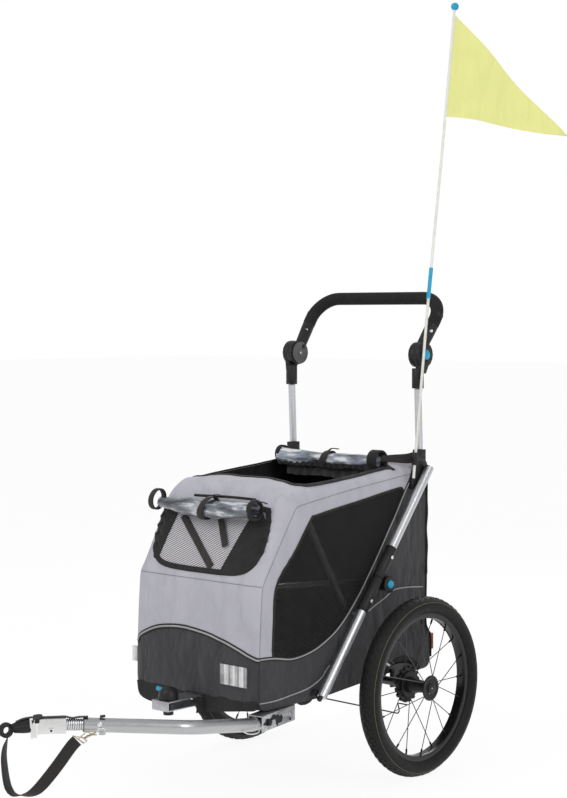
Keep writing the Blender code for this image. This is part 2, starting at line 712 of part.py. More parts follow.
def build_hub():
    path = [(x, 0, WHEEL_RADIUS) for x, radius in HUB_PROFILE]
    barrel = sweep(path, [radius for x, radius in HUB_PROFILE], FINE_SIDES, reference=(0, 0, 1))
    inner = cylinder_x(*INNER_FLANGE_X, 0, WHEEL_RADIUS, INNER_FLANGE_RADIUS)
    outer = cylinder_x(*OUTER_FLANGE_X, 0, WHEEL_RADIUS, OUTER_FLANGE_RADIUS, FLANGE_SIDES)
    bore = cylinder_x(HUB_INNER_X - PAST, OUTER_FLANGE_X[1] + PAST, 0, WHEEL_RADIUS, PIN_BORE)
    recess = cylinder_x(BUTTON_RECESS_X, OUTER_FLANGE_X[1] + PAST, 0, WHEEL_RADIUS,
                        RELEASE_BUTTON_RADIUS + SEAM)
    hub = subtract(unite(barrel, inner, outer), bore, recess)
    return unite(hub, *[build_spoke(index) for index in range(SPOKE_COUNT)])


def build_cog():
    """Toothed brake wheel; one notch faces the parking brake's pin."""
    outline = []
    pitch = math.tau / COG_TEETH
    first = BRAKE_NOTCH_ANGLE - COG_NOTCH_MIDDLE * pitch
    for index in range(COG_TEETH):
        for portion, radius in COG_TOOTH:
            point = wheel_point(0, radius, first + (index + portion) * pitch)
            outline.append((point.y, point.z))
    cog = prism(outline, 0, COG_INNER_X, HUB_INNER_X - GAP)
    bore = cylinder_x(COG_INNER_X - PAST, HUB_INNER_X + PAST, 0, WHEEL_RADIUS, PIN_BORE)
    return subtract(cog, bore)


def build_release():
    pin = cylinder_x(PIN_INNER_X, BUTTON_START_X + JOIN, 0, WHEEL_RADIUS, PIN_RADIUS)
    head = cylinder_x(BUTTON_START_X, BUTTON_END_X, 0, WHEEL_RADIUS, RELEASE_BUTTON_RADIUS)
    return unite(pin, head)


def build_wheels(root, materials):
    centre = Vector((WHEEL_X, 0, WHEEL_RADIUS))
    tyre = lathe_x(tyre_profile(), centre, WHEEL_SEGMENTS)
    rim = lathe_x(rim_profile(), centre, WHEEL_SEGMENTS)
    hub = build_hub()
    cog = build_cog()
    release = build_release()
    for word, side in LEFT_RIGHT:
        origin = (side * WHEEL_X, 0, WHEEL_RADIUS)
        add_part("tyre_" + word, on_side(tyre, side), materials["rubber"], root, origin)
        add_part("rim_" + word, on_side(rim, side), materials["dark_steel"], root, origin)
        add_part("spoked_hub_" + word, on_side(hub, side), materials["plastic"], root, origin)
        add_part("brake_cog_" + word, on_side(cog, side), materials["plastic"], root, origin)
        add_part("wheel_release_" + word, on_side(release, side), materials["plastic"], root, origin)


def rail_height(y):
    return RAIL_LEVEL_Z + max(0.0, y - RAIL_BEND_Y) * RAIL_SLOPE


def build_axle():
    axle = cylinder_x(-AXLE_END_X, AXLE_END_X, 0, WHEEL_RADIUS, AXLE_RADIUS)
    plates = []
    bores = []
    for side in (1, -1):
        ends = sorted((side * PLATE_INNER_X, side * PLATE_OUTER_X))
        plates.append(prism(PLATE_OUTLINE, 0, ends[0], ends[1]))
        inner = side * (AXLE_END_X - AXLE_BORE_DEPTH)
        bores.append(cylinder_x(inner, side * (AXLE_END_X + PAST), 0, WHEEL_RADIUS, PIN_BORE))
    axle = unite(axle, *plates)
    return subtract(axle, *bores)


def build_base_frame():
    corners = []
    for y in (RAIL_FRONT_Y, RAIL_BEND_Y, RAIL_REAR_Y):
        corners.append((RAIL_X, y, rail_height(y)))
    for y in (RAIL_REAR_Y, RAIL_BEND_Y, RAIL_FRONT_Y):
        corners.append((-RAIL_X, y, rail_height(y)))
    start = Vector((0, RAIL_FRONT_Y, rail_height(RAIL_FRONT_Y)))
    loop = rounded_path([start] + [Vector(corner) for corner in corners] + [start], RAIL_CORNER, 3)
    loop = sweep(loop[:-1], RAIL_RADIUS, TUBE_SIDES, reference=(0, 0, 1), cyclic=True)
    crosses = []
    crosses.append(cylinder_x(-CROSS_END_X, CROSS_END_X, CROSS_Y, RAIL_LEVEL_Z, CROSS_RADIUS, TUBE_SIDES))
    level = rail_height(0)
    crosses.append(cylinder_x(-RAIL_X, RAIL_X, 0, level, CROSS_RADIUS, TUBE_SIDES))
    return unite(loop, *crosses)


def build_floor_mat():
    lift = RAIL_RADIUS + SEAM
    lower = []
    upper = []
    for y in (MAT_FRONT_Y, RAIL_BEND_Y, MAT_REAR_Y):
        lower.append((y, rail_height(y) + lift))
        upper.append((y, rail_height(y) + lift + MAT_THICKNESS))
    return prism(lower + upper[::-1], 0, -MAT_HALF_X, MAT_HALF_X)


def build_lower_tube():
    tube = sweep((line_point(LOWER_TUBE_START), line_point(LOWER_TUBE_END)), TUBE_RADIUS)
    stud = cylinder_x(CABIN_HALF - CABIN_WALL + GAP, TUBE_X, ROOF_HOOP_PIVOT[0], ROOF_HOOP_PIVOT[1],
                      FOLD_STUD_RADIUS, TUBE_SIDES)
    return unite(tube, stud)


def fold_lug(along, x_low, x_high):
    """Flat arm from the tube line to the folding hub."""
    half = FOLD_LUG_WIDTH / 2
    outline = []
    for offset, aside in ((-half, 0.0), (half, 0.0), (half, HUB_ASIDE), (-half, HUB_ASIDE)):
        point = line_point(along + offset, aside)
        outline.append((point.y, point.z))
    return prism(outline, 0, x_low, x_high)


def build_lower_sleeve():
    hub = line_point(HUB_ALONG, HUB_ASIDE)
    sleeve = sweep((line_point(LOWER_TUBE_END + GAP), line_point(LOWER_SLEEVE_END)), SLEEVE_RADIUS)
    lug_place = LOWER_SLEEVE_END - FOLD_LUG_WIDTH / 2 - JOIN
    lug = fold_lug(lug_place, FOLD_LAYER_INNER, FOLD_LAYER_MIDDLE - GAP)
    disc = cylinder_x(FOLD_LAYER_INNER, FOLD_LAYER_MIDDLE - GAP, hub.y, hub.z, FOLD_DISC_RADIUS)
    stud = cylinder_x(FOLD_STUD_X, FOLD_LAYER_INNER + JOIN, hub.y, hub.z, FOLD_STUD_RADIUS, TUBE_SIDES)
    return unite(sleeve, lug, disc, stud)


def build_upper_sleeve():
    hub = line_point(HUB_ALONG, HUB_ASIDE)
    sleeve = sweep((line_point(UPPER_SLEEVE_START), line_point(UPPER_SLEEVE_END)), SLEEVE_RADIUS)
    lug = fold_lug(HUB_ALONG + FOLD_LUG_WIDTH / 2 + UPPER_LUG_SHIFT, FOLD_LAYER_MIDDLE, UPPER_LUG_X)
    disc = cylinder_x(FOLD_LAYER_MIDDLE, FOLD_LAYER_OUTER + JOIN, hub.y, hub.z, FOLD_DISC_RADIUS)
    cover = cylinder_x(FOLD_LAYER_OUTER, FOLD_COVER_X, hub.y, hub.z, FOLD_COVER_RADIUS)
    recess = cylinder_x(CAP_RECESS_X, FOLD_COVER_X + PAST, hub.y, hub.z, CAP_RADIUS + GAP)
    return subtract(unite(sleeve, lug, disc, cover), recess)


def join_clip(bracket):
    """The left bracket carries a small sleeve that holds the foot of the flag pole."""
    low = pole_point(CLIP_LOW)
    high = pole_point(CLIP_HIGH)
    direction = (high - low).normalized()
    sleeve = sweep((low, high), CLIP_RADIUS, TUBE_SIDES)
    middle = low.lerp(high, 0.5)
    lug = box((COLLAR_OUTER_X - JOIN, middle.y, middle.z - CLIP_LUG_HALF),
              (POLE_X, COLLAR_PROFILE[0][0] + CLIP_LUG_DEPTH, middle.z + CLIP_LUG_HALF))
    bore = sweep((low - direction * PAST, high + direction * PAST), POLE_RADIUS + GAP, ROD_SIDES)
    bracket = unite(bracket, lug)
    bracket = unite(bracket, sleeve)
    return subtract(bracket, bore)


def build_side_frames(root, materials):
    hub = line_point(HUB_ALONG, HUB_ASIDE)
    lower_tube = build_lower_tube()
    lower_sleeve = build_lower_sleeve()
    upper_sleeve = build_upper_sleeve()
    upper_tube = sweep((line_point(UPPER_SLEEVE_END + GAP), line_point(UPPER_TUBE_END)), TUBE_RADIUS)
    button = cylinder_x(CAP_START_X, CAP_END_X, hub.y, hub.z, CAP_RADIUS)
    bracket = prism(BRACKET_PROFILE, 0, BRACKET_INNER_X, BRACKET_OUTER_X)
    collar = prism(COLLAR_PROFILE, 0, BRACKET_INNER_X, COLLAR_OUTER_X)
    bracket = unite(bracket, collar)
    bracket_left = join_clip(bracket)
    foot = (UPRIGHT_X, UPRIGHT_Y_FOOT, UPRIGHT_FOOT)
    top = (UPRIGHT_X, UPRIGHT_Y_TOP, UPRIGHT_TOP)
    upright = sweep((foot, top), UPRIGHT_RADIUS)
    for word, side in LEFT_RIGHT:
        fold = (side * TUBE_X, hub.y, hub.z)
        add_part("lower_tube_" + word, on_side(lower_tube, side), materials["silver"], root)
        add_part("lower_sleeve_" + word, on_side(lower_sleeve, side), materials["plastic"], root)
        add_part("upper_sleeve_" + word, on_side(upper_sleeve, side), materials["plastic"], root, fold)
        add_part("upper_tube_" + word, on_side(upper_tube, side), materials["silver"], root, fold)
        add_part("fold_button_" + word, on_side(button, side), materials["blue"], root, fold)
        holder = bracket_left if side > 0 else mirror_mesh(bracket)
        add_part("upright_bracket_" + word, holder, materials["plastic"], root, fold)
        add_part("upright_" + word, on_side(upright, side), materials["silver"], root, fold)


def build_handle_socket():
    stem_low = Vector((UPRIGHT_X, UPRIGHT_Y_TOP, UPRIGHT_TOP + SOCKET_SEAT))
    stem_high = Vector((UPRIGHT_X, UPRIGHT_Y_TOP, SOCKET_TOP))
    stem = sweep((stem_low, stem_high), SOCKET_RADIUS)
    disc = cylinder_x(PIVOT_SPLIT_X + GAP, PIVOT_OUTER_X, PIVOT_Y, PIVOT_Z, PIVOT_RADIUS)
    outline = [(PIVOT_Y + along, height) for along, height in SOCKET_WEB]
    web = prism(outline, 0, PIVOT_SPLIT_X + GAP, SOCKET_WEB_X)
    recess = cylinder_x(PRESS_RECESS_X, PIVOT_OUTER_X + PAST, PIVOT_Y, PIVOT_Z, PRESS_RADIUS + GAP)
    return subtract(unite(stem, disc, web), recess)


def handle_path():
    corner_y = HANDLE_CORNER_Y
    corner_z = HANDLE_CORNER_Z
    points = ((HANDLE_FOOT_X, PIVOT_Y, PIVOT_Z), (HANDLE_X, corner_y, corner_z),
              (-HANDLE_X, corner_y, corner_z), (-HANDLE_FOOT_X, PIVOT_Y, PIVOT_Z))
    return rounded_path(points, HANDLE_CORNER_RADIUS)


def handle_reference():
    return (0, HANDLE_CORNER_Z - PIVOT_Z, PIVOT_Y - HANDLE_CORNER_Y)


def build_handle_bar():
    """Bent core bar with a plastic arm and a pivot disc at either end."""
    path = handle_path()
    bar = sweep(path, HANDLE_RADIUS, TUBE_SIDES, reference=handle_reference())
    arms = []
    discs = []
    clearances = []
    for side, start, arc in ((1, path[0], path[1]), (-1, path[-1], path[-2])):
        finish = start.lerp(arc, ARM_PORTION)
        finish = finish + (start - arc).normalized() * GAP
        arms.append(sweep((start, finish), ARM_RADIUS, TUBE_SIDES, reference=handle_reference()))
        ends = sorted((side * PIVOT_INNER_X, side * PIVOT_SPLIT_X))
        discs.append(cylinder_x(ends[0], ends[1], PIVOT_Y, PIVOT_Z, PIVOT_RADIUS))
        ends = sorted((side * PIVOT_SPLIT_X, side * (PIVOT_SPLIT_X + PIVOT_SWEEP)))
        clearances.append(cylinder_x(ends[0], ends[1], PIVOT_Y, PIVOT_Z, PIVOT_RADIUS + SEAM))
    bar = unite(bar, *arms)
    bar = subtract(bar, *clearances)
    return unite(bar, *discs)


def build_foam():
    path = handle_path()
    start = path[0].lerp(path[1], ARM_PORTION)
    finish = path[-1].lerp(path[-2], ARM_PORTION)
    return sweep([start] + path[1:-1] + [finish], FOAM_RADIUS, TUBE_SIDES,
                 reference=handle_reference(), bore=FOAM_BORE)


def build_handle(root, materials):
    socket = build_handle_socket()
    press = cylinder_x(PRESS_START_X, PRESS_END_X, PIVOT_Y, PIVOT_Z, PRESS_RADIUS)
    for word, side in LEFT_RIGHT:
        origin = (side * UPRIGHT_X, PIVOT_Y, PIVOT_Z)
        add_part("handle_socket_" + word, on_side(socket, side), materials["plastic"], root, origin)
        add_part("handle_button_" + word, on_side(press, side), materials["blue"], root, origin)
    axis = (0, PIVOT_Y, PIVOT_Z)
    add_part("handle_bar", build_handle_bar(), materials["plastic"], root, axis)
    add_part("foam_grip", build_foam(), materials["foam"], root, axis)


def hoop(x, pivot, tip, corner_radius):
    points = ((x, *pivot), (x, *tip), (-x, *tip), (-x, *pivot))
    direction = Vector((0, tip[0] - pivot[0], tip[1] - pivot[1])).normalized()
    reference = Vector((1, 0, 0)).cross(direction)
    return sweep(rounded_path(points, corner_radius), HOOP_RADIUS, TUBE_SIDES, reference=reference)


def build_hoops(root, materials):
    hub = line_point(HUB_ALONG, HUB_ASIDE)
    roof = hoop(ROOF_HOOP_X, ROOF_HOOP_PIVOT, ROOF_HOOP_TIP, ROOF_HOOP_CORNER)
    crease = hoop(CREASE_HOOP_X, (hub.y, hub.z), CREASE_HOOP_TIP, CREASE_HOOP_CORNER)
    add_part("roof_hoop", roof, materials["silver"], root, (0, *ROOF_HOOP_PIVOT))
    add_part("crease_hoop", crease, materials["silver"], root, (0, hub.y, hub.z))


def cabin_solid(inset):
    """Closed cabin block; inset shrinks it on every side."""
    side = offset_outline(SIDE_OUTLINE, -inset)
    middle = offset_outline(MIDDLE_OUTLINE, -inset)
    work = bmesh.new()
    rings = []
    for station in STATIONS:
        share = max(0.0, 1.0 - abs(station) ** BULGE_POWER) ** 0.5
        ring = []
        for edge, centre in zip(side, middle):
            y = edge[0] + (centre[0] - edge[0]) * share
            z = edge[1] + (centre[1] - edge[1]) * share
            ring.append(work.verts.new((station * (CABIN_HALF - inset), y, z)))
        rings.append(ring)
    for first, second in zip(rings, rings[1:]):
        bridge(work, first, second)
    work.faces.new(rings[0])
    work.faces.new(rings[-1])
    return mesh_from_bmesh(work)


def below_edge(lift):
    """Everything under the piping between the tub and the hood."""
    outline = [(y, z + lift) for y, z in TUB_EDGE]
    outline += [(TUB_EDGE[-1][0], WORK_FLOOR), (TUB_EDGE[0][0], WORK_FLOOR)]
    sides = prism(outline, 0, -WORK_HALF, WORK_HALF)
    wave = [(x, z + lift) for x, z in FRONT_WAVE]
    wave += [(FRONT_WAVE[-1][0], WORK_FLOOR + PAST), (FRONT_WAVE[0][0], WORK_FLOOR + PAST)]
    front = prism(wave, 1, TUB_EDGE[0][0] - PAST, FRONT_WAVE_Y)
    return unite(sides, front)


def side_window_outline():
    lower = [(y, z + SEAM) for y, z in SIDE_WINDOW_EDGE]
    return lower + list(SIDE_WINDOW_TOP)


def front_window_outline():
    left = [(-x, z) for x, z in FRONT_WINDOW_HALF[1:-1]]
    return list(FRONT_WINDOW_HALF) + left[::-1]


def side_slab(outline, side):
    ends = sorted((side * (CABIN_HALF - CABIN_WALL - PAST), side * (CABIN_HALF + PAST)))
    return prism(outline, 0, ends[0], ends[1])


def tub_openings():
    hub = line_point(HUB_ALONG, HUB_ASIDE)
    cutters = []
    for side in (1, -1):
        low = side * (CABIN_HALF - CABIN_WALL - PAST)
        high = side * (CABIN_HALF + PAST)
        cutters.append(cylinder_x(side * ARCH_INNER_X, high, *ARCH_CENTRE, ARCH_RADIUS, ARCH_SIDES))
        for place in ((hub.y, hub.z), ROOF_HOOP_PIVOT):
            cutters.append(cylinder_x(low, high, *place, FOLD_STUD_RADIUS + SEAM, TUBE_SIDES))
        cutters.append(cylinder_x(low, high, CROSS_Y, RAIL_LEVEL_Z, CROSS_RADIUS + GAP, TUBE_SIDES))
    cutters.append(cylinder_z(RAIL_X, BOSS_Y, TUB_BOTTOM - PAST, BOSS_TOP + PAST, CHANNEL_BOSS + SEAM,
                              TUBE_SIDES))
    cutters.append(box(*NOSE_CUT))
    return cutters


def build_cabin(root, materials):
    shell = subtract(cabin_solid(0.0), cabin_solid(CABIN_WALL))
    window = side_window_outline()
    window_cut = offset_outline(window, GAP)
    front = front_window_outline()
    front_cut = offset_outline(front, GAP)
    hood_cuts = [below_edge(SEAM), side_slab(window_cut, 1), side_slab(window_cut, -1),
                 prism(front_cut, 1, *FRONT_SLAB), prism(ROOF_OPENING, 2, *ROOF_SLAB)]
    hood = subtract(shell.copy(), *hood_cuts)
    tub = subtract(common(shell.copy(), below_edge(0.0)), *tub_openings())
    pivot = (0, *ROOF_HOOP_PIVOT)
    add_part("cabin_tub", tub, materials["charcoal"], root)
    add_part("cabin_hood", hood, materials["grey"], root, pivot)
    for word, side in LEFT_RIGHT:
        pane = common(shell.copy(), side_slab(window, side))
        add_part("side_window_" + word, pane, materials["mesh"], root, pivot)
    pane = common(shell.copy(), prism(front, 1, *FRONT_SLAB))
    add_part("front_window", pane, materials["mesh"], root, pivot)


def cover_roll(y, z, half, radius):
    path = []
    radii = []
    for portion, size in ROLL_SHAPE:
        path.append((portion * half, y, z - ROLL_SAG * (1 - portion * portion)))
        radii.append(radius * size)
    return sweep(path, radii, TUBE_SIDES, reference=(0, 0, 1))


def build_rolls(root, materials):
    front = cover_roll(FRONT_ROLL_Y, FRONT_ROLL_Z, FRONT_ROLL_HALF, FRONT_ROLL_RADIUS)
    roof = cover_roll(ROOF_ROLL_Y, ROOF_ROLL_Z, ROOF_ROLL_HALF, ROOF_ROLL_RADIUS)
    pivot = (0, *ROOF_HOOP_PIVOT)
    add_part("front_cover_roll", front, materials["clear"], root, pivot)
    add_part("roof_cover_roll", roof, materials["clear"], root, pivot)


def channel_frame():
    along = (CHANNEL_MOUTH - CHANNEL_REAR).normalized()
    across = Vector((-along.y, along.x, 0)).normalized()
    return along, across


def build_channel():
    along, across = channel_frame()
    middle = (CHANNEL_TOP + CHANNEL_BOTTOM) / 2
    half_height = (CHANNEL_TOP - CHANNEL_BOTTOM) / 2
    rear = Vector((CHANNEL_REAR.x, CHANNEL_REAR.y, middle))
    mouth = Vector((CHANNEL_MOUTH.x, CHANNEL_MOUTH.y, middle))
    outer = turned_box(rear, mouth, CHANNEL_HALF, half_height)
    drop = Vector((0, 0, CHANNEL_WALL))
    inner = turned_box(rear - along * PAST - drop, mouth + along * PAST - drop,
                       CHANNEL_HALF - CHANNEL_WALL, half_height)
    pin = CHANNEL_MOUTH - along * LOCK_PIN_INSET
    reach = across * (CHANNEL_HALF + PAST)
    hole = sweep((pin - reach, pin + reach), LOCK_PIN_RADIUS + GAP, TUBE_SIDES, reference=(0, 0, 1))
    spare = CHANNEL_REAR + along * LOCK_PIN_INSET
    rear_hole = sweep((spare - reach, spare + reach), LOCK_PIN_RADIUS, TUBE_SIDES, reference=(0, 0, 1))
    channel = subtract(outer, inner, hole, rear_hole)
    boss = cylinder_z(RAIL_X, BOSS_Y, CHANNEL_TOP - JOIN, BOSS_TOP, CHANNEL_BOSS, TUBE_SIDES)
    return unite(channel, boss)


def build_lock_pin():
    along, across = channel_frame()
    pin = CHANNEL_MOUTH - along * LOCK_PIN_INSET
    outward = across if across.x > 0 else -across
    shaft = sweep((pin - outward * LOCK_PIN_REACH, pin + outward * LOCK_PIN_REACH),
                  LOCK_PIN_RADIUS, TUBE_SIDES, reference=(0, 0, 1))
    seat = CHANNEL_HALF + SEAM
    head = sweep((pin + outward * seat, pin + outward * (seat + LOCK_PIN_HEAD_LENGTH)),
                 LOCK_PIN_HEAD, TUBE_SIDES, reference=(0, 0, 1))
    return unite(shaft, head), pin


def arm_path():
    along = channel_frame()[0]
    start = CHANNEL_REAR + along * ARM_INSET
    rise = CHANNEL_MOUTH + along * ARM_RISE_START
    return rounded_path((start, rise, ARM_BEND, ARM_END), ARM_BEND_RADIUS)


def build_arm():
    along, across = channel_frame()
    arm = sweep(arm_path(), ARM_TUBE_RADIUS, FINE_SIDES, reference=(0, 0, 1))
    pin = CHANNEL_MOUTH - along * LOCK_PIN_INSET
    reach = across * (CHANNEL_HALF + PAST)
    hole = sweep((pin - reach, pin + reach), LOCK_PIN_RADIUS + GAP, TUBE_SIDES, reference=(0, 0, 1))
    lug = cylinder_z(LUG_PLACE.x, LUG_PLACE.y, LUG_PLACE.z, LUG_TOP, LUG_RADIUS, TUBE_SIDES)
    return unite(subtract(arm, hole), lug)


def build_spring():
    along = (ROD_END - ARM_END).normalized()
    length = (ROD_END - ARM_END).length
    path = []
    radii = []
    for turn in range(SPRING_TURNS):
        for portion, size in SPRING_RIB:
            share = (turn + portion) / SPRING_TURNS
            path.append(ARM_END + along * (SPRING_GAP + share * (length - 2 * SPRING_GAP)))
            radii.append(SPRING_RADIUS * size)
    return sweep(path, radii, TUBE_SIDES, reference=(0, 0, 1), bore=SPRING_BORE)


def build_coupling_block():
    along = (BLOCK_END - ROD_END).normalized()
    rod_along = (ROD_END - ARM_END).normalized()
    stem = sweep((ARM_END + rod_along * STEM_START, ROD_END + along * JOIN), STEM_RADIUS, TUBE_SIDES,
                 reference=(0, 0, 1))
    block = turned_box(ROD_END, BLOCK_END - along * FLANGE_LENGTH, BLOCK_HALF_WIDTH, BLOCK_HALF_HEIGHT)
    middle = Vector((0, 0, (FLANGE_TOP - FLANGE_DROP) / 2))
    flange = turned_box(BLOCK_END - along * FLANGE_LENGTH + middle, BLOCK_END + middle,
                        FLANGE_HALF_WIDTH, (FLANGE_TOP + FLANGE_DROP) / 2)
    return unite(block, stem, flange)


def build_coupler():
    """Rubber neck that ends in an upright eye for the bicycle's axle."""
    along = (EYE_CENTRE - BLOCK_END).normalized()
    places = (BLOCK_END + along * NECK_GAP, BLOCK_END.lerp(EYE_CENTRE, NECK_WAIST),
              EYE_CENTRE - along * EYE_RADIUS, EYE_CENTRE - along * (EYE_RADIUS * NECK_SINK))
    neck = sweep(places, NECK_RADII, TUBE_SIDES, reference=(0, 0, 1))
    half = EYE_AXIS * EYE_HALF
    eye = sweep((EYE_CENTRE - half, EYE_CENTRE + half), EYE_RADIUS, FINE_SIDES, reference=(0, 0, 1))
    reach = EYE_AXIS * (EYE_HALF + PAST)
    hole = sweep((EYE_CENTRE - reach, EYE_CENTRE + reach), EYE_HOLE, TUBE_SIDES, reference=(0, 0, 1))
    seats = [sweep((EYE_CENTRE + face, EYE_CENTRE + far), EYE_RADIUS + JOIN, FINE_SIDES, reference=(0, 0, 1))
             for face, far in ((half, reach), (-half, -reach))]
    return subtract(unite(subtract(neck, *seats), eye), hole)


def strap_frame():
    along = (BLOCK_END - ROD_END)
    along = Vector((along.x, along.y, 0)).normalized()
    across = Vector((-along.y, along.x, 0))
    return along, across


def strap_point(along_value, height):
    along = strap_frame()[0]
    return STRAP_ORIGIN + along * along_value + Vector((0, 0, height))


def ribbon(path, half_width):
    """Flat band in the arm's upright plane; the third number turns it about its own length."""
    along, across = strap_frame()
    work = bmesh.new()
    rings = []
    for index, (first, second, roll) in enumerate(path):
        before = path[max(0, index - 1)]
        after = path[min(len(path) - 1, index + 1)]
        forward = (along * (after[0] - before[0]) + Vector((0, 0, after[1] - before[1]))).normalized()
        normal = across.cross(forward)
        turn = Matrix.Rotation(math.radians(roll), 3, forward)
        wide = turn @ across * half_width
        thin = turn @ normal * (STRAP_THICKNESS / 2)
        place = strap_point(first, second)
        ring = [work.verts.new(place + wide * side + thin * face)
                for side, face in ((-1, -1), (1, -1), (1, 1), (-1, 1))]
        rings.append(ring)
    for first, second in zip(rings, rings[1:]):
        bridge(work, first, second)
    work.faces.new(rings[0])
    work.faces.new(rings[-1])
    bmesh.ops.triangulate(work, faces=work.faces)
    return mesh_from_bmesh(work)


def build_strap():
    return ribbon(STRAP_PATH, STRAP_HALF)


def build_strap_tail():
    return ribbon([(first, second, 0) for first, second in TAIL_PATH], TAIL_HALF)


def build_hook():
    """Wire loop at the strap's end with a snap body that reaches up to the arm's lug."""
    across = strap_frame()[1]
    loop = [strap_point(first, second) for first, second in HOOK_RING_PATH]
    ring = sweep(loop, HOOK_WIRE, ROD_SIDES, reference=across, cyclic=True)
    body = [strap_point(first, second) for first, second in HOOK_BODY_PATH]
    snap = sweep(body, HOOK_BODY_RADII, ROD_SIDES, reference=across)
    return unite(ring, snap)


def build_tow(root, materials):
    lock_pin, pin_place = build_lock_pin()
    add_part("receiver_channel", build_channel(), materials["steel"], root)
    add_part("receiver_pin", lock_pin, materials["steel"], root, pin_place)
    add_part("tow_arm", build_arm(), materials["silver"], root)
    flex = ARM_END.lerp(ROD_END, 0.5)
    add_part("coupling_spring", build_spring(), materials["steel"], root, flex)
    add_part("coupling_block", build_coupling_block(), materials["silver"], root, flex)
    add_part("flexible_coupler", build_coupler(), materials["rubber"], root, flex)
    add_part("strap_tail", build_strap_tail(), materials["webbing"], root)
    add_part("safety_strap", build_strap(), materials["webbing"], root)
    add_part("snap_hook", build_hook(), materials["steel"], root)


def build_nose_bracket(root, materials):
    outline = ((NOSE_REAR, NOSE_BOTTOM), (NOSE_FRONT, NOSE_BOTTOM), (NOSE_FRONT, NOSE_TOP),
               (NOSE_REAR, NOSE_TOP), (NOSE_REAR, NOSE_TOP - NOSE_WALL),
               (NOSE_FRONT + NOSE_WALL, NOSE_TOP - NOSE_WALL),
               (NOSE_FRONT + NOSE_WALL, NOSE_BOTTOM + NOSE_WALL),
               (NOSE_REAR, NOSE_BOTTOM + NOSE_WALL))
    bracket = prism(outline, 0, -NOSE_HALF, NOSE_HALF)
    bolt_hole = cylinder_z(0, NOSE_BOLT_Y, NOSE_BOTTOM - PAST, NOSE_TOP + PAST, NOSE_BOLT + GAP, TUBE_SIDES)
    bracket = subtract(bracket, bolt_hole)
    nut = cylinder_z(0, NOSE_BOLT_Y, NOSE_BOTTOM - SEAM, NUT_BOTTOM, NUT_RADIUS)
    bolt = cylinder_z(0, NOSE_BOLT_Y, NUT_BOTTOM + JOIN, BOLT_TOP, NOSE_BOLT, TUBE_SIDES)
    centre = Vector((0, NOSE_BOLT_Y, 0))
    path = []
    radii = []
    for portion, size in KNOB_PROFILE:
        path.append(centre + Vector((0, 0, KNOB_SEAT + (KNOB_TOP - KNOB_SEAT) * portion)))
        radii.append(KNOB_RADIUS * size)
    dome = sweep(path, radii, FINE_SIDES, reference=(1, 0, 0))
    pivot = centre + Vector((0, 0, LEVER_Z))
    slot = box(pivot + Vector(LEVER_SLOT[0]), pivot + Vector(LEVER_SLOT[1]))
    knob = unite(subtract(dome, slot), nut, bolt)
    start = pivot - Vector((LEVER_ROOT, 0, 0))
    finish = pivot + Vector((-LEVER_REACH, 0, LEVER_RISE))
    lever = sweep([start.lerp(finish, portion) for portion, size in LEVER_SHAPE],
                  [LEVER_RADIUS * size for portion, size in LEVER_SHAPE], TUBE_SIDES, reference=(0, 0, 1))
    add_part("nose_bracket", bracket, materials["steel"], root)
    add_part("nose_clamp", knob, materials["plastic"], root, pivot)
    add_part("clamp_lever", lever, materials["blue"], root, pivot)


def build_brake(root, materials):
    left = [(BRAKE_X, y, z) for y, z in BRAKE_PATH]
    tip_y, tip_z = BRAKE_PATH[-1]
    right = [(-x, y, z) for x, y, z in reversed(left)]
    points = [(BRAKE_TIP_X, tip_y, tip_z)] + left[::-1] + right[::-1] + [(-BRAKE_TIP_X, tip_y, tip_z)]
    path = rounded_path(points, BRAKE_CORNER, 3)
    rod = sweep(path, BRAKE_RADIUS, BRAKE_SIDES, reference=BRAKE_REFERENCE)
    add_part("brake_rod", rod, materials["dark_steel"], root, (0, *BRAKE_PIVOT))


def pole_point(height):
    low = Vector(POLE_PATH[0])
    high = Vector(POLE_PATH[1])
    portion = (height - low.y) / (high.y - low.y)
    place = low.lerp(high, portion)
    return Vector((POLE_X, place.x, height))


def build_pole():
    path = [(POLE_X, y, z) for y, z in POLE_PATH]
    pole = sweep(path, POLE_RADIUS, ROD_SIDES, reference=(1, 0, 0))
    ferrule = sweep(((POLE_X, *FERRULE_LOW), (POLE_X, *FERRULE_HIGH)), FERRULE_RADIUS, TUBE_SIDES,
                    reference=(1, 0, 0))
    return unite(pole, ferrule, ball((POLE_X, *BALL_CENTRE), BALL_RADIUS))


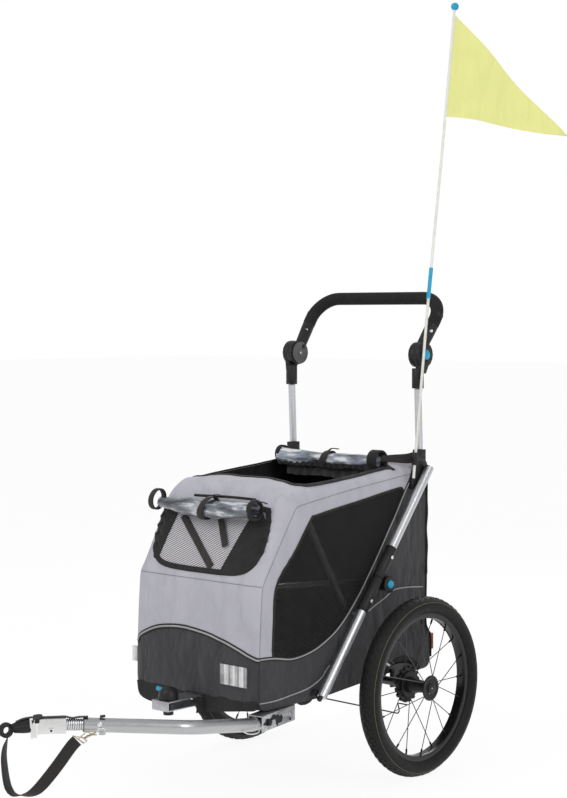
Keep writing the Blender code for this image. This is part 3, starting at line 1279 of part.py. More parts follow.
def build_flag():
    work = bmesh.new()
    layers = []
    for offset in (0.0, FLAG_THICKNESS):
        grid = []
        for column in range(FLAG_COLUMNS):
            portion = column / FLAG_COLUMNS
            row_points = []
            for row in range(FLAG_ROWS + 1):
                down = row / FLAG_ROWS
                hoist = FLAG_TOP.lerp(FLAG_BOTTOM, down)
                point = hoist.lerp(FLAG_TIP, portion)
                phase = portion * FLAG_SWINGS * math.pi + down * FLAG_LEAN
                point.x += offset + math.sin(phase) * FLAG_WAVE * min(1.0, portion * FLAG_CALM)
                ripple = math.sin(portion * FLAG_RIPPLES * math.pi)
                point.z += FLAG_WAVE * FLAG_DROOP * down * ripple
                row_points.append(work.verts.new(point))
            grid.append(row_points)
        tip = FLAG_TIP.copy()
        tip.x += offset
        layers.append((grid, work.verts.new(tip)))
    for index, (grid, tip) in enumerate(layers):
        for first, second in zip(grid, grid[1:]):
            for row in range(FLAG_ROWS):
                work.faces.new((first[row], first[row + 1], second[row + 1], second[row]))
        for row in range(FLAG_ROWS):
            work.faces.new((grid[-1][row], grid[-1][row + 1], tip))
    front, front_tip = layers[0]
    back, back_tip = layers[1]
    border = [front[0][row] for row in range(FLAG_ROWS + 1)]
    border += [front[column][FLAG_ROWS] for column in range(1, FLAG_COLUMNS)]
    border += [front_tip]
    border += [front[column][0] for column in range(FLAG_COLUMNS - 1, 0, -1)]
    mirror = [back[0][row] for row in range(FLAG_ROWS + 1)]
    mirror += [back[column][FLAG_ROWS] for column in range(1, FLAG_COLUMNS)]
    mirror += [back_tip]
    mirror += [back[column][0] for column in range(FLAG_COLUMNS - 1, 0, -1)]
    bridge(work, border, mirror)
    return mesh_from_bmesh(work)


def build_flag_group(root, materials):
    low = pole_point(CLIP_LOW)
    add_part("flag_pole", build_pole(), materials["pole"], root, low)
    add_part("flag", build_flag(), materials["flag"], root, low)


def build_reflectors(root, materials):
    front_y = NOSE_FACE_Y
    front = box((REFLECTOR_X[0], front_y - REFLECTOR_THICKNESS, REFLECTOR_Z[0]),
                (REFLECTOR_X[1], front_y, REFLECTOR_Z[1]))
    add_part("front_reflector", front, materials["lens"], root, smooth=False)
    rear_y = REAR_FOOT_Y + SEAM
    rear = box((REAR_REFLECTOR_X[0], rear_y, REAR_REFLECTOR_Z[0]),
               (REAR_REFLECTOR_X[1], rear_y + REFLECTOR_THICKNESS, REAR_REFLECTOR_Z[1]))
    for word, side in LEFT_RIGHT:
        add_part("rear_reflector_" + word, on_side(rear, side), materials["red_lens"], root, smooth=False)


def main():
    clear_scene()
    materials = build_materials()
    root = bpy.data.objects.new("trailer_root", None)
    root.location = (0, AXLE_SHIFT, 0)
    bpy.context.scene.collection.objects.link(root)
    build_wheels(root, materials)
    add_part("axle", build_axle(), materials["dark_steel"], root)
    add_part("base_frame", build_base_frame(), materials["silver"], root)
    add_part("floor_mat", build_floor_mat(), materials["mat"], root)
    build_side_frames(root, materials)
    build_handle(root, materials)
    build_hoops(root, materials)
    build_cabin(root, materials)
    build_rolls(root, materials)
    build_tow(root, materials)
    build_nose_bracket(root, materials)
    build_brake(root, materials)
    build_flag_group(root, materials)
    build_reflectors(root, materials)


main()
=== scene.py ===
import math

import bmesh
import bpy
import numpy as np
from mathutils import Matrix, Vector, noise
from mathutils.geometry import delaunay_2d_cdt


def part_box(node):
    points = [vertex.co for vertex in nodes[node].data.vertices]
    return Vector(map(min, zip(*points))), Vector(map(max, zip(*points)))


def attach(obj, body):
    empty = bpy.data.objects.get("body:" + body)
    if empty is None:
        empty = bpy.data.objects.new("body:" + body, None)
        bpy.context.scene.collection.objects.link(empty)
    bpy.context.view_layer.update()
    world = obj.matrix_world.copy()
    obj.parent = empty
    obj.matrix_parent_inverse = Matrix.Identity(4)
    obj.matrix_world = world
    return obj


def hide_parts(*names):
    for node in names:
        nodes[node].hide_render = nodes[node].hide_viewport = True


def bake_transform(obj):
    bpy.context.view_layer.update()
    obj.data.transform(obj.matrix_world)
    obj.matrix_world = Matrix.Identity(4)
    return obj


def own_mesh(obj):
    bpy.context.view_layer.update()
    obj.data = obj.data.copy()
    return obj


SHIFT = 0.2205
TURN = math.tau
SIDES = (("left", 1), ("right", -1))
AXES = (Vector((1, 0, 0)), Vector((0, 1, 0)), Vector((0, 0, 1)))
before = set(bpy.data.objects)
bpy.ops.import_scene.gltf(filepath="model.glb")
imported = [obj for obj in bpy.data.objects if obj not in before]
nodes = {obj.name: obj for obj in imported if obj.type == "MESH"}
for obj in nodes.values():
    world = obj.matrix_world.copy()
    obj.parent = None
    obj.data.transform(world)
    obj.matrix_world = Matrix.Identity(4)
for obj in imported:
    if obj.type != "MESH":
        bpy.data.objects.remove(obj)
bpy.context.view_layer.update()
scene = bpy.context.scene


def at(x, y, z):
    """A point measured from the wheel axle's line, moved to the shared frame."""
    return Vector((x, y + SHIFT, z))


def add(name, data):
    """A new object in the scene."""
    made = bpy.data.objects.new(name, data)
    scene.collection.objects.link(made)
    return made


# Camera
CAMERA_TURN, CAMERA_TILT = math.radians(41.76), math.radians(2.71)
CAMERA_PLACE = (2.65184, -3.13718, 1.03761)
CAMERA_LENS, CAMERA_WIDTH = 79.33, 36
camera = bpy.data.cameras.new("camera")
camera.lens = CAMERA_LENS
camera.sensor_width = CAMERA_WIDTH
scene.camera = add("camera", camera)
level = math.cos(CAMERA_TILT)
back = Vector((math.sin(CAMERA_TURN) * level, -math.cos(CAMERA_TURN) * level, math.sin(CAMERA_TILT)))
scene.camera.rotation_euler = back.to_track_quat("Z", "Y").to_euler()
scene.camera.location = at(*CAMERA_PLACE)


# Materials
class Paint:
    """Small helper that lays out shader nodes."""

    def __init__(self, name):
        self.material = bpy.data.materials.new(name)
        self.material.use_nodes = True
        self.tree = self.material.node_tree
        self.shader = self.tree.nodes["Principled BSDF"]
        self.place = self.node("ShaderNodeTexCoord").outputs["Object"]

    def node(self, kind, inputs=None, **settings):
        made = self.tree.nodes.new(kind)
        for key, value in settings.items():
            setattr(made, key, value)
        for key, value in (inputs or {}).items():
            if isinstance(value, bpy.types.NodeSocket):
                self.tree.links.new(value, made.inputs[key])
            else:
                made.inputs[key].default_value = value
        return made

    def set(self, **values):
        for key, value in values.items():
            self.shader.inputs[key.replace("_", " ")].default_value = value

    def math(self, operation, first, second=0.0):
        return self.node("ShaderNodeMath", {0: first, 1: second}, operation=operation).outputs[0]

    def times(self, first, second):
        return self.math("MULTIPLY", first, second)

    def plus(self, first, second):
        return self.math("ADD", first, second)

    def noise(self, scale, detail=3.0, stretch=(1, 1, 1)):
        moved = self.node("ShaderNodeMapping", {"Vector": self.place, "Scale": stretch}).outputs[0]
        made = self.node("ShaderNodeTexNoise", {"Vector": moved, "Scale": scale, "Detail": detail})
        return made.outputs["Fac"]

    def ramp(self, value, stops):
        made = self.node("ShaderNodeValToRGB", {0: value})
        bar = made.color_ramp
        while len(bar.elements) < len(stops):
            bar.elements.new(0.5)
        for element, (position, colour) in zip(bar.elements, stops):
            element.position = position
            element.color = (*colour, 1)
        return made.outputs["Color"]

    def span(self, value, low, high, start=0.3, end=0.7):
        return self.node("ShaderNodeMapRange", {"Value": value, "From Min": start, "From Max": end,
                                                "To Min": low, "To Max": high}).outputs[0]

    def bump(self, height, strength, distance, normal=None):
        inputs = {"Height": height, "Strength": strength, "Distance": distance}
        if normal is not None:
            inputs["Normal"] = normal
        return self.node("ShaderNodeBump", inputs).outputs[0]

    def axes(self):
        return self.node("ShaderNodeSeparateXYZ", {0: self.place}).outputs

    def waves(self, value, pitch):
        return self.math("SINE", self.times(value, TURN / pitch))

    def threads(self, pitch, used=(0, 1, 2)):
        """Crossing threads along the used axes."""
        axes = self.axes()
        total = self.waves(axes[used[0]], pitch)
        for number in used[1:]:
            total = self.plus(total, self.waves(axes[number], pitch))
        return total

    def look(self, tone, stops, normal, rough=None):
        """Colour from a ramp, relief and, if given, uneven roughness."""
        for value, name in ((self.ramp(tone, stops), "Base Color"), (normal, "Normal"), (rough, "Roughness")):
            if value is not None:
                self.tree.links.new(value, self.shader.inputs[name])
        return self.material

    def mix_out(self, share, other):
        """Sends out a mix of the painted surface and another shader."""
        mixed = self.node("ShaderNodeMixShader", {0: share, 1: self.shader.outputs[0], 2: other.outputs[0]})
        self.tree.links.new(mixed.outputs[0], self.tree.nodes["Material Output"].inputs["Surface"])
        return self.material


def shade(colour, factor):
    return tuple(min(1.0, channel * factor) for channel in colour)


def tones(colour, change, low=0.3):
    return (low, shade(colour, 1 - change)), (1 - low, shade(colour, 1 + change))


def cloth(name, colour, pitch=0.0011, rough=0.9, change=0.07, crease=0.35, sheen=0.15):
    """Woven cloth: threads, faint colour change, soft creases and painted shade along the creases."""
    paint = Paint(name)
    crease_and_shade = paint.math("ABSOLUTE", paint.math("SUBTRACT", paint.noise(13, 3, (1, 1, 0.42)), 0.5))
    crease_and_shade = paint.math("MINIMUM", paint.times(crease_and_shade, 9), 1)
    # The colour darkens along the crease lines: painted shade in the creases, on top of a random colour
    # change.
    tone = paint.plus(paint.times(paint.noise(9, 5), 0.6), paint.times(crease_and_shade, 0.32))
    fold = paint.bump(crease_and_shade, min(1.0, crease * 1.2), 0.005)
    soft = paint.bump(paint.noise(26, 4, (1, 1, 0.45)), crease, 0.006, fold)
    paint.set(Sheen_Weight=sheen, Sheen_Roughness=0.5)
    return paint.look(tone, tones(colour, change), paint.bump(paint.threads(pitch), 0.25, 0.0004, soft),
                      paint.span(paint.noise(35), rough - 0.06, rough + 0.04))


def plastic(name, colour, rough=0.5, grain=0.12, size=900, change=0.13, shine=0.5):
    """Moulded plastic, rubber or foam: fine grain and faint colour change."""
    paint = Paint(name)
    paint.set(Specular_IOR_Level=shine)
    return paint.look(paint.noise(60, 4), tones(colour, change, 0.35),
                      paint.bump(paint.noise(size, 2), grain, 0.0005),
                      paint.span(paint.noise(140), rough - 0.07, rough + 0.07))


def metal(name, colour, rough=0.3, stretch=(1, 1, 1), change=0.08, scratch=0.08):
    """Metal with fine drawn lines along one direction and uneven polish."""
    paint = Paint(name)
    paint.set(Metallic=1.0)
    return paint.look(paint.noise(30, 4, stretch), tones(colour, change),
                      paint.bump(paint.noise(600, 2, stretch), scratch, 0.0004),
                      paint.span(paint.noise(300, 3, stretch), rough - 0.07, rough + 0.09))


def net(name, colour, pitch, open_share):
    """Open mesh on a side panel: threads are solid, the holes between them let light through."""
    paint = Paint(name)
    threads = paint.threads(pitch, (1, 2))
    holes = paint.span(threads, 0.0, 1.0, -0.6, 0.9)
    tone = paint.plus(paint.times(paint.noise(14, 3), 0.5), paint.times(holes, 0.5))
    paint.look(tone, ((0.25, shade(colour, 0.6)), (0.75, colour)), paint.bump(threads, 0.4, 0.0005))
    paint.set(Roughness=0.75)
    share = paint.math("SUBTRACT", open_share * 2, paint.times(holes, open_share * 2))
    return paint.mix_out(share, paint.node("ShaderNodeBsdfTransparent"))


def lattice(name, light, dark, pitch):
    """Pale mesh with slanting threads over dark holes."""
    paint = Paint(name)
    axes = paint.axes()
    down = paint.plus(paint.times(axes[2], 0.86), paint.times(paint.noise(22, 2), 0.006))
    slant = paint.waves(paint.plus(down, paint.times(axes[0], -0.5)), pitch)
    steep = paint.waves(paint.plus(down, paint.times(axes[0], 0.75)), pitch)
    total = paint.plus(slant, paint.times(steep, 0.35))
    return paint.look(paint.span(total, 0.0, 1.0, -1.0, 0.9), ((0.15, dark), (0.85, light)),
                      paint.bump(total, 0.4, 0.0006), paint.span(paint.noise(50), 0.6, 0.8))


def prism(name, light, dark, pitch):
    """Reflector face: upright bars of different brightness."""
    paint = Paint(name)
    across = paint.axes()[0]
    total = paint.plus(paint.times(paint.waves(across, pitch), 0.3),
                       paint.times(paint.waves(across, pitch * 0.37), 0.16))
    tone = paint.plus(paint.plus(total, 0.25), paint.times(paint.noise(70, 3), 0.5))
    paint.set(Coat_Weight=0.6, Coat_Roughness=0.08)
    return paint.look(tone, ((0.25, dark), (0.75, light)), paint.bump(total, 0.6, 0.001),
                      paint.span(paint.noise(90), 0.1, 0.25))


# Tones of the clear film, laid in random patches: near-black painted shade, a blue-grey tint and near-white
# painted highlights.
FILM_SHADE_TINT_AND_HIGHLIGHTS = ((0.35, (0.012, 0.013, 0.016)), (0.43, (0.1, 0.116, 0.146)), (0.53, (0.21, 0.238, 0.285)),
              (0.58, (0.5, 0.53, 0.58)), (0.62, (0.92, 0.94, 0.97)))


def film(name, gain):
    """Clear plastic film: mostly see-through and glossy, with uneven patches of painted shade, blue-grey tint
    and painted highlights.
    """
    paint = Paint(name)
    stops = [(spot, shade(colour, gain)) for spot, colour in FILM_SHADE_TINT_AND_HIGHLIGHTS]
    paint.look(paint.noise(52, 4, (0.3, 1.3, 1.6)), stops,
               paint.bump(paint.noise(46, 3, (0.25, 1, 1)), 0.6, 0.005),
               paint.span(paint.noise(60), 0.05, 0.14))
    paint.set(Specular_IOR_Level=0.8, Coat_Weight=1.0, Coat_Roughness=0.05)
    return paint.mix_out(0.18, paint.node("ShaderNodeBsdfTransparent", {0: (0.88, 0.9, 0.93, 1)}))


GREY = cloth("hood_cloth", (0.5, 0.495, 0.552), change=0.05, crease=0.42)
CHARCOAL = cloth("tub_cloth", (0.033, 0.0325, 0.037), rough=0.72, change=0.16, crease=0.6)
LINING = cloth("lining_cloth", (0.0115, 0.0112, 0.0115), crease=0.3, sheen=0.05)
BINDING = cloth("black_binding", (0.012, 0.0112, 0.0112), pitch=0.0018, rough=0.85, crease=0.4, sheen=0.05)
WEBBING = cloth("black_webbing", (0.0175, 0.0155, 0.014), pitch=0.0024, rough=0.8, crease=0.3)
MAT_CLOTH = cloth("mat_cloth", (0.03, 0.03, 0.033), crease=0.6)
PIPING = cloth("grey_piping", (0.36, 0.36, 0.37), pitch=0.0016, rough=0.45, crease=0.1, sheen=0.4)
FLAG_CLOTH = cloth("flag_cloth", (0.97, 0.985, 0.355), pitch=0.0009, rough=0.7, change=0.03, crease=0.2)
SIDE_NET = net("side_net", (0.014, 0.013, 0.0135), 0.0026, 0.36)
FRONT_NET = lattice("front_net", (0.7, 0.69, 0.72), (0.15, 0.14, 0.155), 0.0046)
FILM = film("clear_film", 0.8)
ROOF_FILM = film("roof_film", 2.1)
TUBE = metal("brushed_tube", (0.6, 0.61, 0.63), 0.34, (1, 1, 0.05), 0.04, 0.04)
ARM_METAL = metal("brushed_arm", (0.5, 0.505, 0.51), 0.34, (0.25, 0.05, 1), 0.05, 0.03)
ZINC = metal("zinc_plate", (0.5, 0.51, 0.53), 0.36, (1, 1, 1), 0.16, 0.05)
DARK_STEEL = metal("dark_steel", (0.1, 0.1, 0.105), 0.38)
CHROME = metal("bright_rivet", (0.78, 0.79, 0.8), 0.18)
BRASS = metal("dull_brass", (0.5, 0.43, 0.31), 0.34, change=0.14)
SPRING = metal("spring_steel", (0.7, 0.71, 0.73), 0.26)
PALE_METAL = metal("pale_cast", (0.82, 0.82, 0.81), 0.46, change=0.04, scratch=0.04)
PALE_FACE = plastic("worn_face", (0.085, 0.085, 0.088), 0.42)
BLACK = plastic("black_plastic", (0.015, 0.0142, 0.0142), 0.45, shine=0.32)
GLOSS_BLACK = plastic("rim_black", (0.008, 0.008, 0.0088), 0.2, 0.03, shine=0.38)
BLUE = plastic("blue_plastic", (0.0, 0.375, 0.61), 0.33, 0.05)
RUBBER = plastic("tyre_rubber", (0.011, 0.0107, 0.0113), 0.58, 0.35, 500, shine=0.24)
FOAM = plastic("grip_foam", (0.0135, 0.0135, 0.0145), 0.92, 0.6, 1400, shine=0.4)
POLE = plastic("pole_fibre", (0.82, 0.825, 0.76), 0.35, 0.05, change=0.05)
CLEAR = prism("clear_reflector", (0.8, 0.8, 0.81), (0.3, 0.3, 0.31), 0.023)
RED = plastic("red_reflector", (0.5, 0.015, 0.015), 0.2, 0.1)
SEAM = cloth("hood_seam", (0.235, 0.232, 0.262), pitch=0.003, crease=0.1)
LINE = plastic("tread_line", (0.13, 0.115, 0.07), 0.7)

# Mesh making
def publish(name, data, material, body="chassis", slot=None, replaces=(), smooth=True, lining=None):
    """Turns points and faces into a piece that rides on a body."""
    points, faces = data
    mesh = bpy.data.meshes.new(name)
    mesh.from_pydata([tuple(point) for point in points], [], faces)
    mesh.validate()
    work = bmesh.new()
    work.from_mesh(mesh)
    bmesh.ops.recalc_face_normals(work, faces=work.faces)
    work.to_mesh(mesh)
    work.free()
    mesh.materials.append(material)
    if lining:
        mesh.materials.append(lining)
    if smooth:
        mesh.shade_smooth()
        mesh.set_sharp_from_angle(angle=math.radians(40))
    piece = add(name, mesh)
    if body:
        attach(piece, body)
    if replaces:
        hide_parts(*replaces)
    return piece


def join(*parts):
    """Several point and face lists as one."""
    points, faces = [], []
    for more, sides in parts:
        base = len(points)
        points += list(more)
        faces += [tuple(index + base for index in face) for face in sides]
    return points, faces


def mirrored(data, side):
    points, faces = data
    return [Vector((point[0] * side, point[1], point[2])) for point in points], faces


def pair(name, data, material, body="chassis", slot=None, node=None):
    """The same piece on the left and mirrored on the right; a body that ends with _ is one for each side."""
    for word, side in SIDES:
        place = body + word if body.endswith("_") else body
        publish(name + word, mirrored(data, side), material, place, slot, [node + word] if node else ())


def slab(outline, lay):
    """Plate between two copies of an outline; lay gives the points of either copy."""
    count = len(outline)
    points = [lay(*spot, near) for near in (0, 1) for spot in outline]
    faces = [tuple(range(count)), tuple(range(count, 2 * count))]
    return points, faces + [(i, (i + 1) % count, (i + 1) % count + count, i + count) for i in range(count)]


def mesh_grid(lines, gaps, lay):
    """Open net of points laid line by line, with gaps + 1 points on each line."""
    points = [lay(line, place) for line in range(lines + 1) for place in range(gaps + 1)]
    starts = [line * (gaps + 1) + place for line in range(lines) for place in range(gaps)]
    return points, [(a, a + 1, a + gaps + 2, a + gaps + 1) for a in starts]


def ring(radius, sides=20):
    return [(radius * math.cos(TURN * i / sides), radius * math.sin(TURN * i / sides)) for i in range(sides)]


def band(width, thick):
    """Section of a flat strap with soft edges."""
    half, edge = width / 2, min(thick, width) / 2
    corner = edge * 0.7
    return [(-half, 0), (-half + edge * 0.3, corner), (-half + edge, edge), (half - edge, edge),
            (half - edge * 0.3, corner), (half, 0), (half - edge * 0.3, -corner), (half - edge, -edge),
            (-half + edge, -edge), (-half + edge * 0.3, -corner)]


def spline(points, step=0.006, closed=False):
    """Smooth curve through the points, sampled about every step."""
    points = [Vector(point) for point in points]
    count = len(points)
    made = []
    for i in range(count if closed else count - 1):
        a = points[i - 1] if (i or closed) else points[0] * 2 - points[1]
        b, c = points[i], points[(i + 1) % count]
        d = points[(i + 2) % count] if (i + 2 < count or closed) else c * 2 - b
        parts = max(1, round((c - b).length / step))
        for k in range(parts):
            t = k / parts
            made.append(0.5 * (b * 2 + (c - a) * t + (a * 2 - b * 5 + c * 4 - d) * t * t
                               + (b * 3 - a - c * 3 + d) * t ** 3))
    return made if closed else made + [points[-1]]


def rounded(points, radius, steps=8):
    """Path with each inner corner turned into an arc."""
    points = [Vector(point) for point in points]
    path = [points[0]]
    for before, corner, after in zip(points, points[1:], points[2:]):
        into, out = (corner - before).normalized(), (after - corner).normalized()
        turn = into.angle(out)
        start = corner - into * radius * math.tan(turn / 2)
        centre = start + (out - into * into.dot(out)).normalized() * radius
        for step in range(steps + 1):
            angle = turn * step / steps
            path.append(centre + (start - centre) * math.cos(angle) + into * radius * math.sin(angle))
    path.append(points[-1])
    return path


def sweep(path, section, up=(0, 0, 1), closed=False, scale=None, ups=None):
    """Carries a section along a path; scale grows it and ups gives its upward side point by point."""
    path = [Vector(point) for point in path]
    count = len(path)
    lift = Vector(up)
    points, faces = [], []
    for i, here in enumerate(path):
        before = path[i - 1] if (i or closed) else here
        after = path[(i + 1) % count] if (i < count - 1 or closed) else here
        along = (after - before).normalized()
        if ups is not None:
            lift = Vector(ups[i])
        across = along.cross(lift).normalized()
        lift = across.cross(along)
        size = scale[i] if scale else 1.0
        points += [here + across * u * size + lift * v * size for u, v in section]
    sides = len(section)
    for i in range(count if closed else count - 1):
        first, second = i * sides, ((i + 1) % count) * sides
        for k in range(sides):
            m = (k + 1) % sides
            faces.append((first + k, first + m, second + m, second + k))
    if not closed:
        faces += [tuple(range(sides)), tuple(range((count - 1) * sides, count * sides))]
    return points, faces


def tube(start, end, radius, sides=24, chamfer=0.0006):
    """Straight round bar with slightly rounded ends."""
    start, end = Vector(start), Vector(end)
    along = (end - start).normalized()
    reference = (0, 0, 1) if abs(along.z) < 0.9 else (1, 0, 0)
    path = (start, start + along * chamfer, end - along * chamfer, end)
    shrink = 1 - chamfer / radius
    return sweep(path, ring(radius, sides), reference, scale=(shrink, 1, 1, shrink))


def lathe(profile, centre, segments=96, axis=(1, 0, 0)):
    """Closed section (along the axis, radius) turned about the axis through centre."""
    axis = Vector(axis).normalized()
    first = axis.orthogonal().normalized()
    second = axis.cross(first)
    centre = Vector(centre)
    points, faces = [], []
    count = len(profile)
    for i in range(segments):
        angle = TURN * i / segments
        out = first * math.cos(angle) + second * math.sin(angle)
        points += [centre + axis * along + out * radius for along, radius in profile]
    for i in range(segments):
        a, b = i * count, ((i + 1) % segments) * count
        for k in range(count):
            m = (k + 1) % count
            faces.append((a + k, b + k, b + m, a + m))
    return points, faces


def block(centre, axes, halves):
    """Box with its own three directions."""
    a, b, c = [axis * half for axis, half in zip(axes, halves)]
    points = [centre + a * u + b * v + c * w for u in (-1, 1) for v in (-1, 1) for w in (-1, 1)]
    return points, [(0, 1, 3, 2), (4, 6, 7, 5), (0, 4, 5, 1), (2, 3, 7, 6), (0, 2, 6, 4), (1, 5, 7, 3)]


def screw(place, direction, radius, height=0.0016):
    """Round head with a dished top."""
    direction = Vector(direction).normalized()
    profile = ((0, 0.0001), (0, radius), (height * 0.6, radius), (height, radius * 0.72),
               (height * 0.95, radius * 0.4), (height * 0.55, radius * 0.3), (height * 0.55, 0.0001))
    return lathe(profile, place, 20, direction)


# Safety strap under the tow arm: along the coupling, height and turn of the band in degrees
ARM_END = Vector((0.095, -0.861, 0.24))
ROD_END = Vector((0.074, -0.887, 0.241))
BLOCK_END = Vector((0.0345, -0.934, 0.241))
STRAP_PATH = ((0.1133, 0.2184, 5), (0.118, 0.202, 20), (0.12, 0.184, 25), (0.119, 0.164, 28),
              (0.1165, 0.142, 30), (0.1125, 0.123, 30), (0.105, 0.111, 18), (0.0955, 0.106, -5),
              (0.084, 0.1055, -22), (0.0715, 0.1072, -42), (0.0585, 0.1135, -65), (0.046, 0.125, -80),
              (0.0293, 0.145, -86), (0.0137, 0.165, -88), (-0.0013, 0.1858, -88),
              (-0.0124, 0.2005, -88), (-0.0213, 0.2093, -88))
TAIL_PATH = ((-0.043, 0.2556), (-0.025, 0.2556), (-0.014, 0.254), (-0.006, 0.2552), (0.002, 0.2574),
             (0.02, 0.2574), (0.045, 0.2574), (0.06, 0.258), (0.072, 0.2572), (0.084, 0.255), (0.097, 0.2495))
TAIL_STUB = ((-0.0764, 0.2562), (-0.072, 0.2554), (-0.066, 0.2546))
STRAP_WIDTH = 0.0244
STRAP_THICK = 0.0019
forward = BLOCK_END - ROD_END
forward.z = 0
forward.normalize()
across = Vector((-forward.y, forward.x, 0))


def strap_place(along, height):
    return at(ROD_END.x, ROD_END.y, height) + forward * along


route = spline([(along, height, roll / 1000) for along, height, roll in STRAP_PATH], 0.008)
strap_line = [strap_place(point.x, point.y) for point in route]
strap_ups = []
for index, point in enumerate(route):
    ahead = (strap_line[min(index + 1, len(route) - 1)] - strap_line[max(index - 1, 0)]).normalized()
    level = across.cross(ahead)
    strap_ups.append(Matrix.Rotation(point.z * 1000 * math.pi / 180, 3, ahead) @ level)
strap_shape = sweep(strap_line, band(STRAP_WIDTH, STRAP_THICK), ups=strap_ups)
strap = publish("hanging_strap", strap_shape, WEBBING, "chassis", "webbing", ["safety_strap"])
strap_length = sum((b - a).length for a, b in zip(strap_line, strap_line[1:]))
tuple(strap_line[0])
tails = [sweep(spline([strap_place(*point) for point in path], 0.004), band(width, thick))
         for path, width, thick in ((TAIL_PATH, 0.012, STRAP_THICK), (TAIL_STUB, 0.011, 0.004))]
publish("strap_over_block", join(*tails), WEBBING, "coupling", "webbing", ["strap_tail"])

# Wheels
WHEEL = 0.203
HUB_X = 0.264
TYRE_HALF, TYRE_RISE, TYRE_CENTRE = 0.0232, 0.0194, 0.182
TREAD_COUNT = 60
TREAD_ROWS = ((0.0, 0.012, 0.0052, 0.021), (0.0085, 0.0125, 0.0062, 0.021), (0.0165, 0.013, 0.007, 0.0213))
TREAD_SINK, TREAD_HALF, TREAD_SLANT, TREAD_LEAN = 0.0024, 0.0021, 0.3, 0.024
LINE_ASIDE, LINE_RADIUS, LINE_LIFT = 0.0208, 0.0007, 0.0004
RIM_PROFILE = ((-0.0135, 0.1665), (-0.0132, 0.1672), (-0.012, 0.1672), (-0.0115, 0.164), (0.0, 0.16),
               (0.0115, 0.164), (0.012, 0.1672), (0.0132, 0.1672), (0.0135, 0.1665), (0.0128, 0.16),
               (0.0117, 0.1552), (0.008, 0.1542), (0.0, 0.1538), (-0.008, 0.1542), (-0.0117, 0.1552),
               (-0.0128, 0.16))
BARREL = ((0.231, 0.0066), (0.231, 0.0175), (0.233, 0.0185), (0.25, 0.0165), (0.27, 0.0135),
          (0.2885, 0.0128), (0.2885, 0.0066))
INNER_FLANGE = ((0.2325, 0.01), (0.2325, 0.0292), (0.2332, 0.03), (0.235, 0.03), (0.2357, 0.0292),
                (0.2357, 0.01))
OUTER_FLANGE = ((0.291, 0.0131), (0.291, 0.027), (0.2918, 0.0278), (0.2947, 0.0278), (0.2955, 0.0268),
                (0.295, 0.0215), (0.2938, 0.0205), (0.2938, 0.017), (0.2952, 0.016), (0.2952, 0.0131))
FLANGE_X, KNURL_RADIUS, KNURL_COUNT = 0.29325, 0.0276, 30
SPOKE_COUNT, SPOKE_RADIUS, SPOKE_SKEW, SPOKE_TOP = 20, 0.001, math.radians(20), 0.1533
INNER_SPOKE, OUTER_SPOKE, SPOKE_SPREAD = (0.2341, 0.026), (FLANGE_X, 0.0238), 0.0025
NIPPLE_SHARE, NIPPLE_RADIUS = 0.085, 0.0022
COG_X, COG_BORE, COG_TOOTH, COG_ROOT = (0.2225, 0.2307), 0.0335, 0.0413, 0.0372
COG_RINGS = (((0.2232, 0.0066), (0.2232, 0.0215), (0.23, 0.0215), (0.23, 0.0066)),
             ((0.2268, 0.02), (0.2268, 0.034), (0.23, 0.034), (0.23, 0.02)))
COG_STEPS, COG_RIB_COUNT, COG_RIB_X, COG_RIB_RADIUS = 64, 16, 0.2263, 0.0275
VALVE_ANGLE = 2.62
VALVE_SPANS = ((0.154, 0.129, 0.0026, 0.0006), (0.129, 0.115, 0.0038, 0.001))


def outward(angle):
    return Vector((0, math.cos(angle), math.sin(angle)))


def wheel_point(x, radius, angle):
    return at(x, 0, WHEEL) + outward(angle) * radius


def ribs(count, shift, x, radius, halves):
    """Small blocks spaced evenly round the wheel's axis."""
    made = []
    for i in range(count):
        angle = TURN * (i + shift) / count
        axes = (outward(angle), AXES[0], outward(angle).cross(AXES[0]))
        made.append(block(wheel_point(x, radius, angle), axes, halves))
    return made


def tyre():
    profile = [(TYRE_HALF * math.sin(TURN * i / 28), TYRE_CENTRE + TYRE_RISE * math.cos(TURN * i / 28))
               for i in range(28)]
    parts = [lathe(profile, at(HUB_X, 0, WHEEL), 120)]
    for row, (aside, long, wide, depth) in enumerate(TREAD_ROWS):
        for sign in (1, -1) if row else (1,):
            lean = math.asin(aside / TREAD_LEAN) * sign
            for i in range(TREAD_COUNT):
                angle = TURN * (i + 0.5 * (row % 2) + 0.25 * (sign < 0)) / TREAD_COUNT
                out = outward(angle)
                around = Vector((0, -math.sin(angle), math.cos(angle)))
                face = (AXES[0] * math.sin(lean) + out * math.cos(lean)).normalized()
                slant = (Matrix.Rotation(TREAD_SLANT * sign, 3, face) @ around) if row else around
                place = wheel_point(HUB_X, TYRE_CENTRE, angle) + face * (depth - TREAD_SINK)
                parts.append(block(place, (slant, face.cross(slant), face), (long / 2, wide / 2, TREAD_HALF)))
    return join(*parts)


def tread_lines():
    radius = TYRE_CENTRE + TYRE_RISE * math.sqrt(1 - (LINE_ASIDE / TYRE_HALF) ** 2) + LINE_LIFT
    parts = []
    for aside in (-LINE_ASIDE, LINE_ASIDE):
        profile = [(aside + u, radius + v) for u, v in ring(LINE_RADIUS, 6)]
        parts.append(lathe(profile, at(HUB_X, 0, WHEEL), 96))
    return join(*parts)


def hub():
    parts = [lathe(profile, at(0, 0, WHEEL), 64) for profile in (BARREL, INNER_FLANGE, OUTER_FLANGE)]
    return join(*parts, *ribs(KNURL_COUNT, 0, FLANGE_X, KNURL_RADIUS, (0.0009, 0.0016, 0.0012)))


def spoke_ends(index):
    outside = index % 2
    x, start = OUTER_SPOKE if outside else INNER_SPOKE
    skew = SPOKE_SKEW if index % 4 < 2 else -SPOKE_SKEW
    angle = TURN * index / SPOKE_COUNT
    end_x = HUB_X + (SPOKE_SPREAD if outside else -SPOKE_SPREAD)
    return wheel_point(x, start, angle - skew), wheel_point(end_x, SPOKE_TOP, angle)


